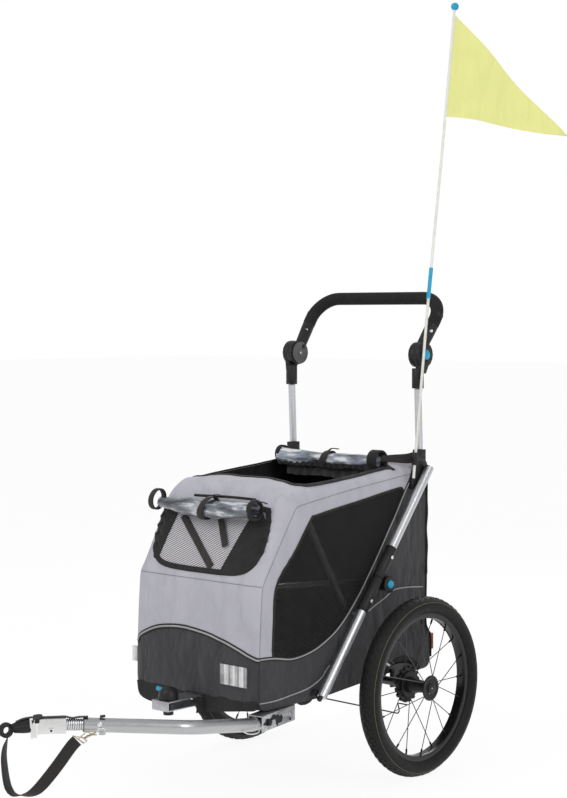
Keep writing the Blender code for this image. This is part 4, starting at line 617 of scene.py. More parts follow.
def cog():
    rings = []
    for i in range(COG_STEPS):
        radius = COG_TOOTH if i % 4 in (1, 2) else COG_ROOT
        rings += [(radius, TURN * i / COG_STEPS), (radius, TURN * (i + 0.86) / COG_STEPS)]
    points, faces = [], []
    for x in COG_X:
        for radius, angle in rings:
            points += [wheel_point(x, radius, angle), wheel_point(x, COG_BORE, angle)]
    low = 2 * len(rings)
    for i in range(len(rings)):
        k = (i + 1) % len(rings)
        a, b, c, d = 2 * i, 2 * k, 2 * i + 1, 2 * k + 1
        faces += [(a, b, d, c), (a + low, c + low, d + low, b + low), (a, a + low, b + low, b),
                  (c, d, d + low, c + low)]
    parts = [(points, faces)] + [lathe(profile, at(0, 0, WHEEL), 48) for profile in COG_RINGS]
    return join(*parts, *ribs(COG_RIB_COUNT, 0.5, COG_RIB_X, COG_RIB_RADIUS, (0.0072, 0.0036, 0.0018)))


SPOKES = join(*[tube(*spoke_ends(i), SPOKE_RADIUS, 8, 0.0002) for i in range(SPOKE_COUNT)])
NIPPLES = []
for index in range(SPOKE_COUNT):
    start, end = spoke_ends(index)
    NIPPLES.append(tube(end, end.lerp(start, NIPPLE_SHARE), NIPPLE_RADIUS, 8, 0.0004))
VALVE, VALVE_CAP = [tube(wheel_point(HUB_X, top, VALVE_ANGLE), wheel_point(HUB_X, low, VALVE_ANGLE), radius,
                         16, chamfer) for top, low, radius, chamfer in VALVE_SPANS]
RIM = lathe(RIM_PROFILE, at(HUB_X, 0, WHEEL), 128)
WHEEL_PIECES = (("tyre_tread_", tyre(), RUBBER, "tyre_rubber", "tyre_"),
                ("tread_line_", tread_lines(), LINE, None, None),
                ("smooth_rim_", RIM, GLOSS_BLACK, "black_metal", "rim_"),
                ("hub_shell_", hub(), BLACK, "black_plastic", "spoked_hub_"),
                ("wheel_spokes_", SPOKES, DARK_STEEL, None, None),
                ("spoke_nipples_", join(*NIPPLES), BLACK, None, None),
                ("toothed_disc_", cog(), BLACK, "black_plastic", "brake_cog_"),
                ("valve_stem_", VALVE, ZINC, None, None),
                ("valve_cap_", VALVE_CAP, BLACK, None, None))
for name, data, material, slot, node in WHEEL_PIECES:
    pair(name, data, material, "wheel_", slot, node)
for word, side in SIDES:
    cap_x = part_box("wheel_release_" + word)[side > 0][0]
    dot = screw((cap_x - side * 0.0006, SHIFT, WHEEL), (side, 0, 0), 0.0018, 0.0008)
    publish("release_dot_" + word, dot, CHROME, "release_" + word)

# Frame tubes and handle
TUBE_X, TUBE_RADIUS = 0.208, 0.011
HOOP_STUD = (-0.146, 0.3772)
HANDLE_SEAT = (0.09, 0.948)
HANDLE_PATH = ((0.185, *HANDLE_SEAT), (0.1935, 0.184, 1.079), (-0.1935, 0.184, 1.079), (-0.185, *HANDLE_SEAT))
HANDLE_FACE = (0, 0.131, -0.094)
GRIP_START = 0.74
SLEEVE_PATH = ((0.1853, 0.098, 0.959), (0.1885, 0.128, 1.001), (0.1911, 0.157, 1.0415))
SOCKET_FACE = ((-0.004, 0.003), (-0.004, 0.0262), (-0.001, 0.027), (0, 0.0262), (0, 0.0225),
               (-0.0008, 0.0215), (-0.0008, 0.011), (0.0002, 0.01), (0.0002, 0.003))
TO_CAMERA = Vector((0.666, -0.746, 0))
SCREWS = (("handle_screw_left", (0.1915, 0.1305, 1.0025), 0.0142, "push_handle"),
          ("handle_screw_right", (-0.1886, 0.129, 1.0027), 0.0142, "push_handle"),
          ("post_screw_right", (-0.1895, 0.084, 0.888), 0.0096, "rear_frame"))


def line_point(along, aside=0.0, x=TUBE_X):
    """Point on the slanting side tube; aside lies square to it."""
    return at(x, -0.277 + 0.6284 * along + 0.7779 * aside, 0.215 + 0.7779 * along - 0.6284 * aside)


side_tube = join(tube(line_point(0.0), line_point(0.218), TUBE_RADIUS, 28),
                 tube(at(0.1803, *HOOP_STUD), at(TUBE_X, *HOOP_STUD), 0.005, 16))
pair("side_tube_", side_tube, TUBE, "chassis", "brushed_tube", "lower_tube_")
tube_foot = tube(line_point(-0.011, -0.003), line_point(0.0006, -0.003), 0.0056, 20, 0.002)
pair("side_tube_foot_", tube_foot, BLACK)
pair("back_tube_", tube(line_point(0.3863), line_point(0.609), TUBE_RADIUS, 28), TUBE, "rear_frame",
     "brushed_tube", "upper_tube_")
for name, along, body in (("lower_rivet_", 0.246, "chassis"), ("upper_rivet_", 0.362, "rear_frame")):
    pair(name, screw(line_point(along, 0.0, 0.2213), AXES[0], 0.0042, 0.0018), CHROME, body)

handle = [at(*point) for point in rounded(HANDLE_PATH, 0.06, 12)]
grip = spline([handle[0].lerp(handle[1], GRIP_START)] + handle[1:-1]
              + [handle[-1].lerp(handle[-2], GRIP_START)], 0.006)
ends = [min(1.0, 0.9 + 0.05 * min(i, len(grip) - 1 - i)) for i in range(len(grip))]
foam = publish("foam_sleeve", sweep(grip, ring(0.0151, 32), HANDLE_FACE, scale=ends), FOAM, "push_handle",
               "foam", ["foam_grip"])
post = tube(at(0.1934, 0.0857, 0.7313), at(0.1934, 0.0798, 0.8698), 0.0085, 24)
pair("upright_post_", post, TUBE, "rear_frame", "brushed_tube", "upright_")
for name, spot, reach, body in SCREWS:
    publish(name, screw(at(*spot) + TO_CAMERA * reach, TO_CAMERA, 0.0034, 0.0014), CHROME, body)
publish("socket_face", lathe(SOCKET_FACE, at(-0.1725, *HANDLE_SEAT), 48), PALE_FACE, "push_handle")
publish("socket_bolt", screw(at(-0.1735, *HANDLE_SEAT), AXES[0], 0.003, 0.0012), CHROME, "push_handle")
sleeve = sweep([at(*point) for point in SLEEVE_PATH], ring(0.0146, 28), HANDLE_FACE, scale=(0.92, 1, 1))
pair("arm_sleeve_", sleeve, BLACK, "push_handle")


def bow(x, pivot, tip, corner):
    """Hoop across the cabin from its pivots over its tip."""
    path = [at(*point) for point in rounded(((x, *pivot), (x, *tip), (-x, *tip), (-x, *pivot)), corner, 10)]
    direction = Vector((0, tip[0] - pivot[0], tip[1] - pivot[1])).normalized()
    return sweep(path, ring(0.008, 20), AXES[0].cross(direction))


for name, shape in (("roof", bow(0.1716, HOOP_STUD, (-0.32, 0.656), 0.06)),
                    ("crease", bow(0.155, (-0.05997, 0.43704), (-0.4255, 0.463), 0.045))):
    publish(name + "_bow_tube", shape, TUBE, name + "_bow", "brushed_tube", [name + "_hoop"])

# Cabin skin: side and middle outlines as matching points, blended across the width
HALF = 0.184
SIDE_OUTLINE = ((-0.43, 0.2065), (-0.441, 0.21), (-0.448, 0.219), (-0.45, 0.235),
                (-0.449, 0.3), (-0.445, 0.39), (-0.439, 0.47), (-0.418, 0.501),
                (-0.39, 0.543), (-0.364, 0.582), (-0.348, 0.606), (-0.338, 0.62),
                (-0.33, 0.63), (-0.28, 0.637), (-0.153, 0.653), (0.0, 0.668),
                (0.09, 0.677), (0.112, 0.677), (0.122, 0.669), (0.125, 0.655),
                (0.125, 0.45), (0.124, 0.318), (0.134, 0.302), (0.143, 0.288),
                (0.143, 0.236), (0.139, 0.221), (0.128, 0.216), (0.1, 0.215),
                (0.0, 0.225), (-0.24, 0.2065))
MIDDLE_OUTLINE = ((-0.434, 0.2065), (-0.447, 0.21), (-0.455, 0.219), (-0.457, 0.235),
                  (-0.456, 0.3), (-0.452, 0.39), (-0.445, 0.472), (-0.431, 0.51),
                  (-0.416, 0.555), (-0.399, 0.6), (-0.384, 0.636), (-0.364, 0.663),
                  (-0.338, 0.676), (-0.28, 0.681), (-0.153, 0.69), (0.0, 0.702),
                  (0.09, 0.708), (0.113, 0.707), (0.123, 0.698), (0.127, 0.68),
                  (0.127, 0.45), (0.126, 0.318), (0.135, 0.302), *SIDE_OUTLINE[-7:])
TUB_EDGE = ((-0.47, 0.319), (-0.407, 0.315), (-0.341, 0.305), (-0.271, 0.316),
            (-0.198, 0.349), (-0.13, 0.408), (-0.077, 0.47), (-0.007, 0.562),
            (0.069, 0.665), (0.1, 0.668), (0.15, 0.669))
FRONT_WAVE = ((-0.19, 0.3165), (-0.179, 0.3165), (-0.17, 0.33), (-0.124, 0.351),
              (-0.076, 0.36), (-0.027, 0.362), (0.027, 0.357), (0.076, 0.347),
              (0.124, 0.334), (0.179, 0.3165), (0.19, 0.3165))
WINDOW_TOP = ((0.04, 0.6257), (0.035, 0.6425), (0.005, 0.642), (-0.13, 0.624), (-0.265, 0.606),
              (-0.286, 0.598), (-0.34, 0.53), (-0.394, 0.468), (-0.404, 0.39),
              (-0.407, 0.322), (-0.407, 0.315))
FRONT_WINDOW = ((0.0, 0.489), (0.08, 0.49), (0.118, 0.495), (0.142, 0.508), (0.157, 0.533),
                (0.16, 0.565), (0.157, 0.6), (0.151, 0.618), (0.138, 0.626), (0.0, 0.63))
ROOF_OPENING = ((-0.158, -0.29), (-0.135, -0.305), (-0.06, -0.285), (0.06, -0.285),
                (0.135, -0.305), (0.158, -0.29), (0.167, -0.24), (0.167, -0.01),
                (0.15, 0.01), (-0.15, 0.01), (-0.167, -0.01), (-0.167, -0.24))
ARCH = (0.0327, 0.1698, 0.082)
HOOD_FOOT, WING_CUT, REAR_SEAM, CUT_OVERLAP = 0.3165, 0.437, 0.669, 0.0001
NOSE_HALF, NOSE_FRONT, NOSE_TOP = 0.0265, -0.42, 0.225
CORNERS, OUTLINE_STEP, SMOOTHING, ROUNDNESS = len(MIDDLE_OUTLINE), 0.004, 8, 7
EDGE_FADE, SEAM_FADE, SIDE_REACH, CLOTH_THICK, PANE_THICK = 0.02, 0.03, 0.8, 0.0014, 0.0008
steps = [max(1, round(math.dist(MIDDLE_OUTLINE[i], MIDDLE_OUTLINE[(i + 1) % CORNERS]) / OUTLINE_STEP))
         for i in range(CORNERS)]


def resample(outline):
    points = []
    for i, parts in enumerate(steps):
        a, b = np.array(outline[i]), np.array(outline[(i + 1) % CORNERS])
        points += [a + (b - a) * k / parts for k in range(parts)]
    points = np.array(points)
    for _ in range(SMOOTHING):
        points = (np.roll(points, 1, 0) + 2 * points + np.roll(points, -1, 0)) / 4
    return np.vstack([points, points[:1]])


EDGE, CROWN = resample(SIDE_OUTLINE), resample(MIDDLE_OUTLINE)
RUN = np.concatenate([[0], np.cumsum(np.hypot(*np.diff(CROWN, axis=0).T))])
LENGTH = float(RUN[-1])


def skin(x, s):
    """Point of the wrap at width x and run s round the outline."""
    s = s % LENGTH
    share = max(0.0, 1 - (abs(x) / HALF) ** ROUNDNESS) ** 0.5
    y = np.interp(s, RUN, EDGE[:, 0]) * (1 - share) + np.interp(s, RUN, CROWN[:, 0]) * share
    z = np.interp(s, RUN, EDGE[:, 1]) * (1 - share) + np.interp(s, RUN, CROWN[:, 1]) * share
    return Vector((x, y, z))


def find(x, value, axis, low, high):
    """Run s between low and high where the wrap reaches the value along y (1) or z (2)."""
    runs = np.linspace(low, high, 160)
    reached = [skin(x, s)[axis] for s in runs]
    if reached[0] > reached[-1]:
        runs, reached = runs[::-1], reached[::-1]
    return float(np.interp(value, reached, runs))


def run_at(index):
    return float(RUN[sum(steps[:index])])


FRONT_LOW, FRONT_HIGH, ROOF_END, REAR_LOW = [run_at(index) for index in (2, 12, 17, 21)]


def front_run(x, z):
    return find(x, z, 2, FRONT_LOW, FRONT_HIGH)


def folds(point, normal, reach):
    """Soft creases of stretched cloth; reach fades them out at a seam."""
    x, y, z = point
    long = noise.noise(Vector((x * 16, y * 9, z * 4)) + Vector((3.1, 0, 0))) * 0.0024
    small = noise.noise(Vector((x * 38, y * 30, z * 14))) * 0.0009
    if z < 0.33:
        lean = x * 0.7 + z * 0.7 + y * 0.3
        long += (0.5 - abs(noise.noise(Vector((lean * 26, z * 9 - x * 5, 7.0))))) * 0.003
    tuck = math.exp(-((abs(x) - 0.165) / 0.03) ** 2 - ((y + 0.395) / 0.05) ** 2 - ((z - 0.56) / 0.07) ** 2)
    ripple = math.sin((z * 1.5 - abs(x) * 1.2 + y) * 150 + 2 * small * 1000) * 0.003 * tuck
    brow = math.exp(-((y + 0.345) / 0.035) ** 2 - ((z - 0.668) / 0.03) ** 2)
    ripple += math.sin(x * 120 + 3 * noise.noise(Vector((x * 9, y * 9, 2)))) * 0.0026 * brow
    return point + normal * ((long + small + ripple) * reach - 0.0004)


def on_wrap(x, s, lift=0.0):
    here = skin(x, s)
    step = 0.002
    wide = skin(min(HALF, x + step), s) - skin(max(-HALF, x - step), s)
    long = skin(x, s + step) - skin(x, s - step)
    normal = wide.cross(long).normalized()
    if abs(x) > HALF - 0.0005:
        normal = Vector((math.copysign(1, x), 0, 0))
    moved = folds(here, normal, min(1.0, (HALF - abs(x)) / EDGE_FADE))
    return at(*(moved + normal * lift)), normal


SIDE_POINTS = [tuple(point) for point in EDGE[:-1]]


def on_side(side, y, z):
    gap = min(math.hypot(y - a, z - b) for a, b in SIDE_POINTS)
    normal = Vector((side, 0, 0))
    return at(*folds(Vector((side * HALF, y, z)), normal, min(1.0, gap / SEAM_FADE) * SIDE_REACH)), normal


def side_lay(side):
    return lambda y, z: on_side(side, y, z)


def inside(point, polygon):
    x, y = point
    hit = False
    for (ax, ay), (bx, by) in zip(polygon, polygon[1:] + polygon[:1]):
        if (ay > y) != (by > y) and x < (bx - ax) * (y - ay) / (by - ay) + ax:
            hit = not hit
    return hit


def regions(loops, grid, label):
    """Triangles inside the loops, sorted by the label of their middle; None drops one."""
    points, edges = [], []
    for loop, closed in loops:
        base = len(points)
        points += loop
        edges += [(base + i, base + i + 1) for i in range(len(loop) - 1)]
        if closed:
            edges.append((base + len(loop) - 1, base))
    points += grid
    made = delaunay_2d_cdt([Vector(point) for point in points], edges, [], 0, 1e-5)
    found = {}
    for face in made[2]:
        middle = sum((made[0][i] for i in face), Vector((0, 0))) / len(face)
        key = label(*middle)
        if key:
            found.setdefault(key, []).append(face)
    return made[0], found


def panel(points, faces, lay):
    """Lays flat triangles on the skin."""
    used = sorted({i for face in faces for i in face})
    order = {old: new for new, old in enumerate(used)}
    return [lay(*points[i])[0] for i in used], [tuple(order[i] for i in face) for face in faces]


def flat(points, step=0.006, closed=False):
    """A smooth flat curve as plain pairs."""
    return [(p.x, p.y) for p in spline([(a, b, 0) for a, b in points], step, closed)]


tub_edge = flat(TUB_EDGE)
window_top = flat(WINDOW_TOP)
edge_y, edge_z = [p[0] for p in tub_edge], [p[1] for p in tub_edge]
edge_inside = [p for p in tub_edge if -0.449 < p[0] < 0.1225]
window_low = [p for p in tub_edge if -0.407 < p[0] < 0.04]
window_loop = window_low + window_top
arch_loop = [(ARCH[0] + ARCH[2] * math.cos(TURN * i / 80), ARCH[1] + ARCH[2] * math.sin(TURN * i / 80))
             for i in range(80)]


def side_label(y, z):
    if not inside((y, z), SIDE_POINTS):
        return None
    if math.hypot(y - ARCH[0], z - ARCH[1]) < ARCH[2]:
        return None
    if z < np.interp(y, edge_y, edge_z):
        return "upper" if z > WING_CUT else "tub"
    return "window" if inside((y, z), window_loop) else "hood"


side_grid = [(-0.455 + 0.008 * i, 0.2 + 0.008 * k) for i in range(76) for k in range(61)]
side_grid = [p for p in side_grid if inside(p, SIDE_POINTS)]
cut_line = [(-0.1 + 0.006 * i, WING_CUT) for i in range(38)]
SIDE_MESH = regions([(SIDE_POINTS, True), (edge_inside, False), (window_top, False), (arch_loop, True),
                     (cut_line, False)], side_grid, side_label)

wave_line = [(x, front_run(x, z)) for x, z in flat(FRONT_WAVE) if abs(x) < HALF]
wave_line = [(-HALF, wave_line[0][1])] + wave_line + [(HALF, wave_line[-1][1])]
pane_loop = flat(FRONT_WINDOW + tuple((-x, z) for x, z in FRONT_WINDOW[-2:0:-1]), 0.006, True)
pane_line = [(x, front_run(x, z)) for x, z in pane_loop]
roof_line = [(x, find(x, y, 1, FRONT_HIGH, ROOF_END)) for x, y in flat(ROOF_OPENING, 0.006, True)]
ACROSS = np.linspace(-HALF, HALF, 60)
rear_s, cut_s = [float(np.mean([find(x, height, 2, ROOF_END, REAR_LOW) for x in ACROSS]))
                 for height in (REAR_SEAM, WING_CUT)]
columns = [0.0085 * i for i in range(20)] + [0.168, 0.1735, 0.178, 0.181, 0.1828, 0.1836, HALF]
columns = [-x for x in columns[:0:-1]] + columns
rows = [LENGTH * i / 270 for i in range(271)]
wrap_grid = [(x, s) for x in columns for s in rows]
wave_x, wave_s = zip(*wave_line)


def wrap_label(x, s):
    if inside((x, s), pane_line):
        return "window"
    if inside((x, s), roof_line):
        return None
    if np.interp(x, wave_x, wave_s) < s < rear_s:
        return "hood"
    here = skin(x, s)
    if abs(x) < NOSE_HALF and here.y < NOSE_FRONT and here.z < NOSE_TOP:
        return None
    return "upper" if rear_s < s < cut_s else "tub"


WRAP_MESH = regions([(wave_line, False), (pane_line, True), (roof_line, True)]
                    + [([(x, run) for x in ACROSS], False) for run in (rear_s, cut_s)], wrap_grid, wrap_label)


def thicken(piece, thick, replaces=(), body="chassis"):
    """Welds the panels' seams, gives the cloth its thickness and turns both into plain mesh."""
    work = bmesh.new()
    work.from_mesh(piece.data)
    bmesh.ops.remove_doubles(work, verts=work.verts, dist=0.0006)
    bmesh.ops.recalc_face_normals(work, faces=work.faces)
    centres = [face.calc_center_median() for face in work.faces]
    middle = sum(centres, Vector()) / len(centres)
    middle.x = 0
    facing = [(spot - middle).dot(face.normal) * face.calc_area() for spot, face in zip(centres, work.faces)]
    if sum(facing) < 0:
        bmesh.ops.reverse_faces(work, faces=work.faces)
    work.to_mesh(piece.data)
    work.free()
    shell = piece.modifiers.new("thickness", "SOLIDIFY")
    shell.thickness = thick
    shell.offset = -1
    shell.material_offset = 1 if len(piece.data.materials) > 1 else 0
    shell.use_even_offset = False
    bake(piece)
    piece.data.shade_smooth()
    piece.data.set_sharp_from_angle(angle=math.radians(50))
    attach(piece, body)
    if replaces:
        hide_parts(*replaces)
    return piece


def bake(piece):
    """Turns the piece's modifiers into mesh."""
    made = bpy.data.meshes.new_from_object(piece.evaluated_get(bpy.context.evaluated_depsgraph_get()))
    piece.modifiers.clear()
    piece.data = made


CABIN = (("hood_shell", "hood", GREY, "grey_cloth", ["cabin_hood"]),
         ("tub_shell", "tub", CHARCOAL, "charcoal_cloth", ["cabin_tub"]),
         ("tub_wings", "upper", CHARCOAL, "charcoal_cloth", ()))
shells = []
for name, key, material, slot, taken in CABIN:
    parts = [panel(SIDE_MESH[0], SIDE_MESH[1][key], side_lay(side)) for word, side in SIDES]
    parts.append(panel(WRAP_MESH[0], WRAP_MESH[1][key], on_wrap))
    shell = publish(name, join(*parts), material, None, slot, lining=LINING)
    shells.append(thicken(shell, CLOTH_THICK, taken))
wings = [shells[2]]
pane = panel(WRAP_MESH[0], WRAP_MESH[1]["window"], on_wrap)
pane = publish("front_pane", pane, FRONT_NET, None, "black_mesh")
canopy = [shells[0], thicken(pane, PANE_THICK, ["front_window"])]
for word, side in SIDES:
    pane = panel(SIDE_MESH[0], SIDE_MESH[1]["window"], side_lay(side))
    canopy.append(thicken(publish("side_pane_" + word, pane, SIDE_NET, None, "black_mesh"), PANE_THICK,
                          ["side_window_" + word]))

# Bindings, piping and seams laid on the skin
LOW_PIPING = ((-0.448, 0.225), (-0.4, 0.224), (-0.349, 0.228), (-0.307, 0.232), (-0.281, 0.237),
              (-0.254, 0.248), (-0.24, 0.259), (-0.223, 0.274))
WING_PIPING = ((-0.096, 0.373), (-0.06, 0.387), (-0.024, 0.4), (0.005, 0.413), (0.057, 0.413), (0.111, 0.408))
LINING_X, LINING_FOOT = 0.1785, 0.226


def lay_line(name, places, lay, section, material, lift, closed=False):
    """Carries a section along places on the skin, lifted off it."""
    spots = [lay(*place) for place in places]
    path = [spot + normal * lift for spot, normal in spots]
    made = sweep(path, section, closed=closed, ups=[normal for spot, normal in spots])
    return publish(name, made, material)


crease_line = [(x, front_run(x, 0.47)) for x in np.linspace(-0.1825, 0.1825, 60)]
canopy += [lay_line("front_pane_binding", pane_line, on_wrap, band(0.0125, 0.0028), BINDING, 0.001, True),
           lay_line("roof_opening_binding", roof_line, on_wrap, band(0.01, 0.003), BINDING, 0.0008, True),
           lay_line("front_crease_seam", crease_line, on_wrap, ring(0.0007, 10), SEAM, 0.0002)]
lay_line("front_wave_edge", wave_line, on_wrap, band(0.011, 0.0014), BINDING, 0.0008)
lay_line("front_wave_piping", wave_line, on_wrap, ring(0.0021, 10), PIPING, 0.0014)
cut_point = (np.interp(WING_CUT, edge_z[5:], edge_y[5:]), WING_CUT)
low_edge = [p for p in edge_inside if p[1] <= WING_CUT] + [cut_point]
high_edge = [cut_point] + [p for p in edge_inside if p[1] >= WING_CUT - CUT_OVERLAP]
arc = sorted([p for p in arch_loop if inside(p, SIDE_POINTS)], key=lambda p: -p[0])
corner = [p for p in SIDE_POINTS if p[1] > HOOD_FOOT and p[0] < 0.1 and (p[1] > 0.452 or p[0] < -0.4)]
tub_corner = [p for p in SIDE_POINTS if 0.225 < p[1] < HOOD_FOOT and p[0] < -0.4]
for word, side in SIDES:
    lay = side_lay(side)
    for part, places in (("low_", low_edge), ("high_", high_edge)):
        trims = [lay_line("side_edge_" + part + word, places, lay, band(0.0085, 0.0014), BINDING, 0.0008),
                 lay_line("side_piping_" + part + word, places, lay, ring(0.0017, 10), PIPING, 0.0012)]
    wings += trims  # only the high ones join the wings
    canopy += [lay_line("side_pane_binding_" + word, window_top, lay, band(0.006, 0.0016), BINDING, 0.0008),
               lay_line("corner_seam_" + word, corner, lay, ring(0.0007, 10), SEAM, 0.0002)]
    lay_line("arch_binding_" + word, arc, lay, band(0.01, 0.0036), BINDING, 0.0006)
    lay_line("low_piping_" + word, flat(LOW_PIPING), lay, ring(0.0014, 10), PIPING, 0.0008)
    lay_line("tub_corner_seam_" + word, tub_corner, lay, ring(0.0006, 10), LINING, 0.0002)
    lay_line("wing_piping_" + word, flat(WING_PIPING), lay, ring(0.0014, 10), PIPING, 0.0008)
lining = [at(LINING_X, y, z) for y, z in arc + [(arc[-1][0], LINING_FOOT), (arc[0][0], LINING_FOOT)]]
pair("arch_lining_", (lining, [tuple(range(len(lining)))]), LINING)

# Lower lip of the tub, cuff at the nose bracket and the sagging floor cloth
LIPS = (("front_lip_right", ((-0.18, 0.227), (-0.1745, 0.201), (-0.16, 0.1905), (-0.135, 0.186),
                             (-0.1, 0.1865), (-0.06, 0.19), (-0.033, 0.195), (-0.033, 0.227))),
        ("front_lip_left", ((0.03, 0.227), (0.03, 0.1905), (0.05, 0.1905), (0.09, 0.196), (0.14, 0.204),
                            (0.178, 0.211), (0.18, 0.227))))
CUFF = ((-0.48, 0.188), (-0.477, 0.205), (-0.468, 0.218), (-0.454, 0.226), (-0.454, 0.188))
for name, outline in LIPS:
    lip = slab(flat(outline, 0.004), lambda x, z, near: at(x, -0.453 - 0.003 * near, z))
    publish(name, lip, BINDING)
publish("nose_cuff", slab(flat(CUFF, 0.004), lambda y, z, near: at(0.0282 + 0.002 * near, y, z)), BINDING)
SAG_CENTRE, SAG_HALVES = (0.164, -0.284, 0.211), (0.014, 0.027, 0.018)


def sag_point(turn, index):
    polar, angle = math.pi * turn / 12, TURN * index / 24
    wobble = 1 + 0.06 * noise.noise(Vector((angle, polar * 2, 3)))
    ways = (math.sin(polar) * math.cos(angle), math.sin(polar) * math.sin(angle), math.cos(polar))
    return at(*[middle + half * way * wobble for middle, half, way in zip(SAG_CENTRE, SAG_HALVES, ways)])


sag_points = [sag_point(turn, index) for turn in range(13) for index in range(24)]
sag_faces = [(turn * 24 + i, turn * 24 + (i + 1) % 24, turn * 24 + 24 + (i + 1) % 24, turn * 24 + 24 + i)
             for turn in range(12) for i in range(24)]
publish("floor_sag", (sag_points, sag_faces), LINING)
rear_edge = [(0.1838 + 0.0008 * math.sin(z * 90), 0.1262 + 0.0012 * math.sin(z * 55), z)
             for z in np.linspace(WING_CUT, 0.655, 40)]
REAR_LOW_EDGE = ((0.1262, 0.436), (0.125, 0.33), (0.133, 0.306), (0.144, 0.288), (0.1445, 0.24))
for word, side in SIDES:
    line = [at(side * x, y, z) for x, y, z in rear_edge]
    wings.append(publish("rear_edge_" + word, sweep(line, ring(0.0036, 10), AXES[0]), BINDING))
    line = [at(side * 0.1838, y, z) for y, z in flat(REAR_LOW_EDGE)]
    publish("rear_low_edge_" + word, sweep(line, ring(0.0026, 10), AXES[0]), BINDING)
    lens = block(at(side * 0.1615, 0.1502, 0.2755), AXES, (0.0225, 0.005, 0.0185))
    publish("rear_lens_" + word, lens, RED, "chassis", "red_reflector", ["rear_reflector_" + word], False)

# Straps on the windows, rolled covers
PANE_STRAPS = (("pane_strap_long", (-0.087, 0.598), (0.032, 0.497), 0.0175, 0.002),
               ("pane_strap_short", (0.03, 0.598), (0.062, 0.543), 0.016, 0.006))
FLAPS = (("pane_flap_right", ((-0.156, 0.515), (-0.148, 0.502), (-0.135, 0.498), (-0.105, 0.602),
                              (-0.108, 0.62), (-0.148, 0.62), (-0.158, 0.57))),
         ("pane_flap_left", ((0.06, 0.493), (0.118, 0.498), (0.14, 0.51), (0.154, 0.533), (0.157, 0.565),
                             (0.154, 0.6), (0.138, 0.62), (0.112, 0.608))))
FLAP_GRID = [(x * 0.006, z * 0.006) for x in range(-30, 31) for z in range(76, 108)]
# Name, middle line's y and z, half length, radius, seed, pinch towards the right, film
ROLLS = (("front", (-0.4174, 0.6255), 0.14, 0.0232, 2.0, 0.55, FILM),
         ("roof", (-0.0092, 0.7057), 0.146, 0.0186, 5.0, -0.45, ROOF_FILM))
ROLL_TURNS, ROLL_STEPS, ROLL_COLUMNS, ROLL_SAG = 2.6, 60, 64, 0.004
# Name, centre, radius, section, lean along the roll, squeeze along y, cloth
ROLL_BANDS = (("front_roll_ring", (0.141, -0.416, 0.6265), 0.0205, (0.012, 0.0048), 0, 1, BINDING),
              ("front_roll_tie", (0.005, -0.4174, 0.622), 0.0252, (0.015, 0.0022), 0.011, 1, WEBBING),
              ("front_roll_loop", (-0.152, -0.418, 0.631), 0.0225, (0.015, 0.0036), 0.004, 0.9, WEBBING),
              ("roof_roll_ring", (0.145, -0.0085, 0.7085), 0.0215, (0.028, 0.004), 0, 1, BINDING),
              ("roof_roll_tie", (-0.002, -0.0092, 0.702), 0.0202, (0.019, 0.0022), 0.006, 1, WEBBING),
              ("roof_roll_end", (-0.145, -0.0085, 0.7085), 0.0195, (0.013, 0.0034), 0, 1, BINDING))
TIE_TAILS = (
    ("front_tie_tail", ((0.01, -0.405, 0.647), (0.022, -0.409, 0.6515), (0.034, -0.415, 0.65)), 0.012),
    ("front_ring_tail", ((0.146, -0.411, 0.645), (0.156, -0.406, 0.644), (0.165, -0.403, 0.641)), 0.006),
    ("roof_tie_tail", ((0.002, -0.012, 0.723), (0.016, -0.015, 0.729), (0.036, -0.016, 0.729)), 0.006))
SIDE_STRAP = ((0.152, -0.002, 0.712), (0.166, 0.028, 0.711), (0.18, 0.056, 0.71), (0.19, 0.076, 0.713))
# Name, y, top, foot, depth of the folds, folds' rate, half length, cloth
RUFFLES = (("roof_ruffle", -0.012, 0.689, 0.662, 0.003, 210, 0.125, CHARCOAL),
           ("roof_ruffle_edge", -0.026, 0.6965, 0.685, 0.0026, 330, 0.145, BINDING))


def on_pane(x, z, lift=0.0):
    return on_wrap(x, front_run(x, z), lift)


def strip(start, end, count=16):
    return [(start[0] + (end[0] - start[0]) * i / count, start[1] + (end[1] - start[1]) * i / count)
            for i in range(count + 1)]


def film_roll(centre, half, radius, seed, pinch):
    """Loose spiral of film, uneven along its length and pinched at one end."""
    def lay(column, step):
        share = column / ROLL_COLUMNS * 2 - 1
        swell = 1 - 0.06 * share ** 2 + 0.06 * noise.noise(Vector((share * 3, seed, 0)))
        swell -= pinch * max(0.0, -share - 0.35) + 0.05 * math.exp(-(share * 9) ** 2)
        angle = TURN * ROLL_TURNS * step / ROLL_STEPS + 0.9
        reach = radius * (0.56 + 0.44 * step / ROLL_STEPS) * swell
        reach *= 1 + 0.11 * noise.noise(Vector((share * 4, step * 0.16, seed)))
        return at(share * half, centre[0] + reach * math.cos(angle),
                  centre[1] - ROLL_SAG * (1 - share * share) + reach * 0.92 * math.sin(angle))

    return mesh_grid(ROLL_COLUMNS, ROLL_STEPS, lay)


def loop_band(centre, radius, section, lean, squeeze):
    """Flat band closed round a roll."""
    turns = [TURN * i / 28 for i in range(28)]
    ups = [Vector((0, radius * math.cos(turn) * squeeze, radius * math.sin(turn))) for turn in turns]
    path = [at(*centre) + up + AXES[0] * (lean * math.sin(turn)) for up, turn in zip(ups, turns)]
    return sweep(path, section, closed=True, ups=ups)


def ruffle(y, top, low, depth, rate, half):
    """Gathered strip of cloth hanging from a level line across the cabin."""
    def lay(column, row):
        x, down = -half + 2 * half * column / 160, row / 8
        wander = 1.6 * noise.noise(Vector((x * 30, down * 2, 1)))
        bend = depth * (0.25 + 0.75 * down) * math.sin(x * rate + wander)
        return at(x, y + bend, top + (low - top) * down + 0.0035 * noise.noise(Vector((x * 18, 4, down))))

    return mesh_grid(160, 8, lay)


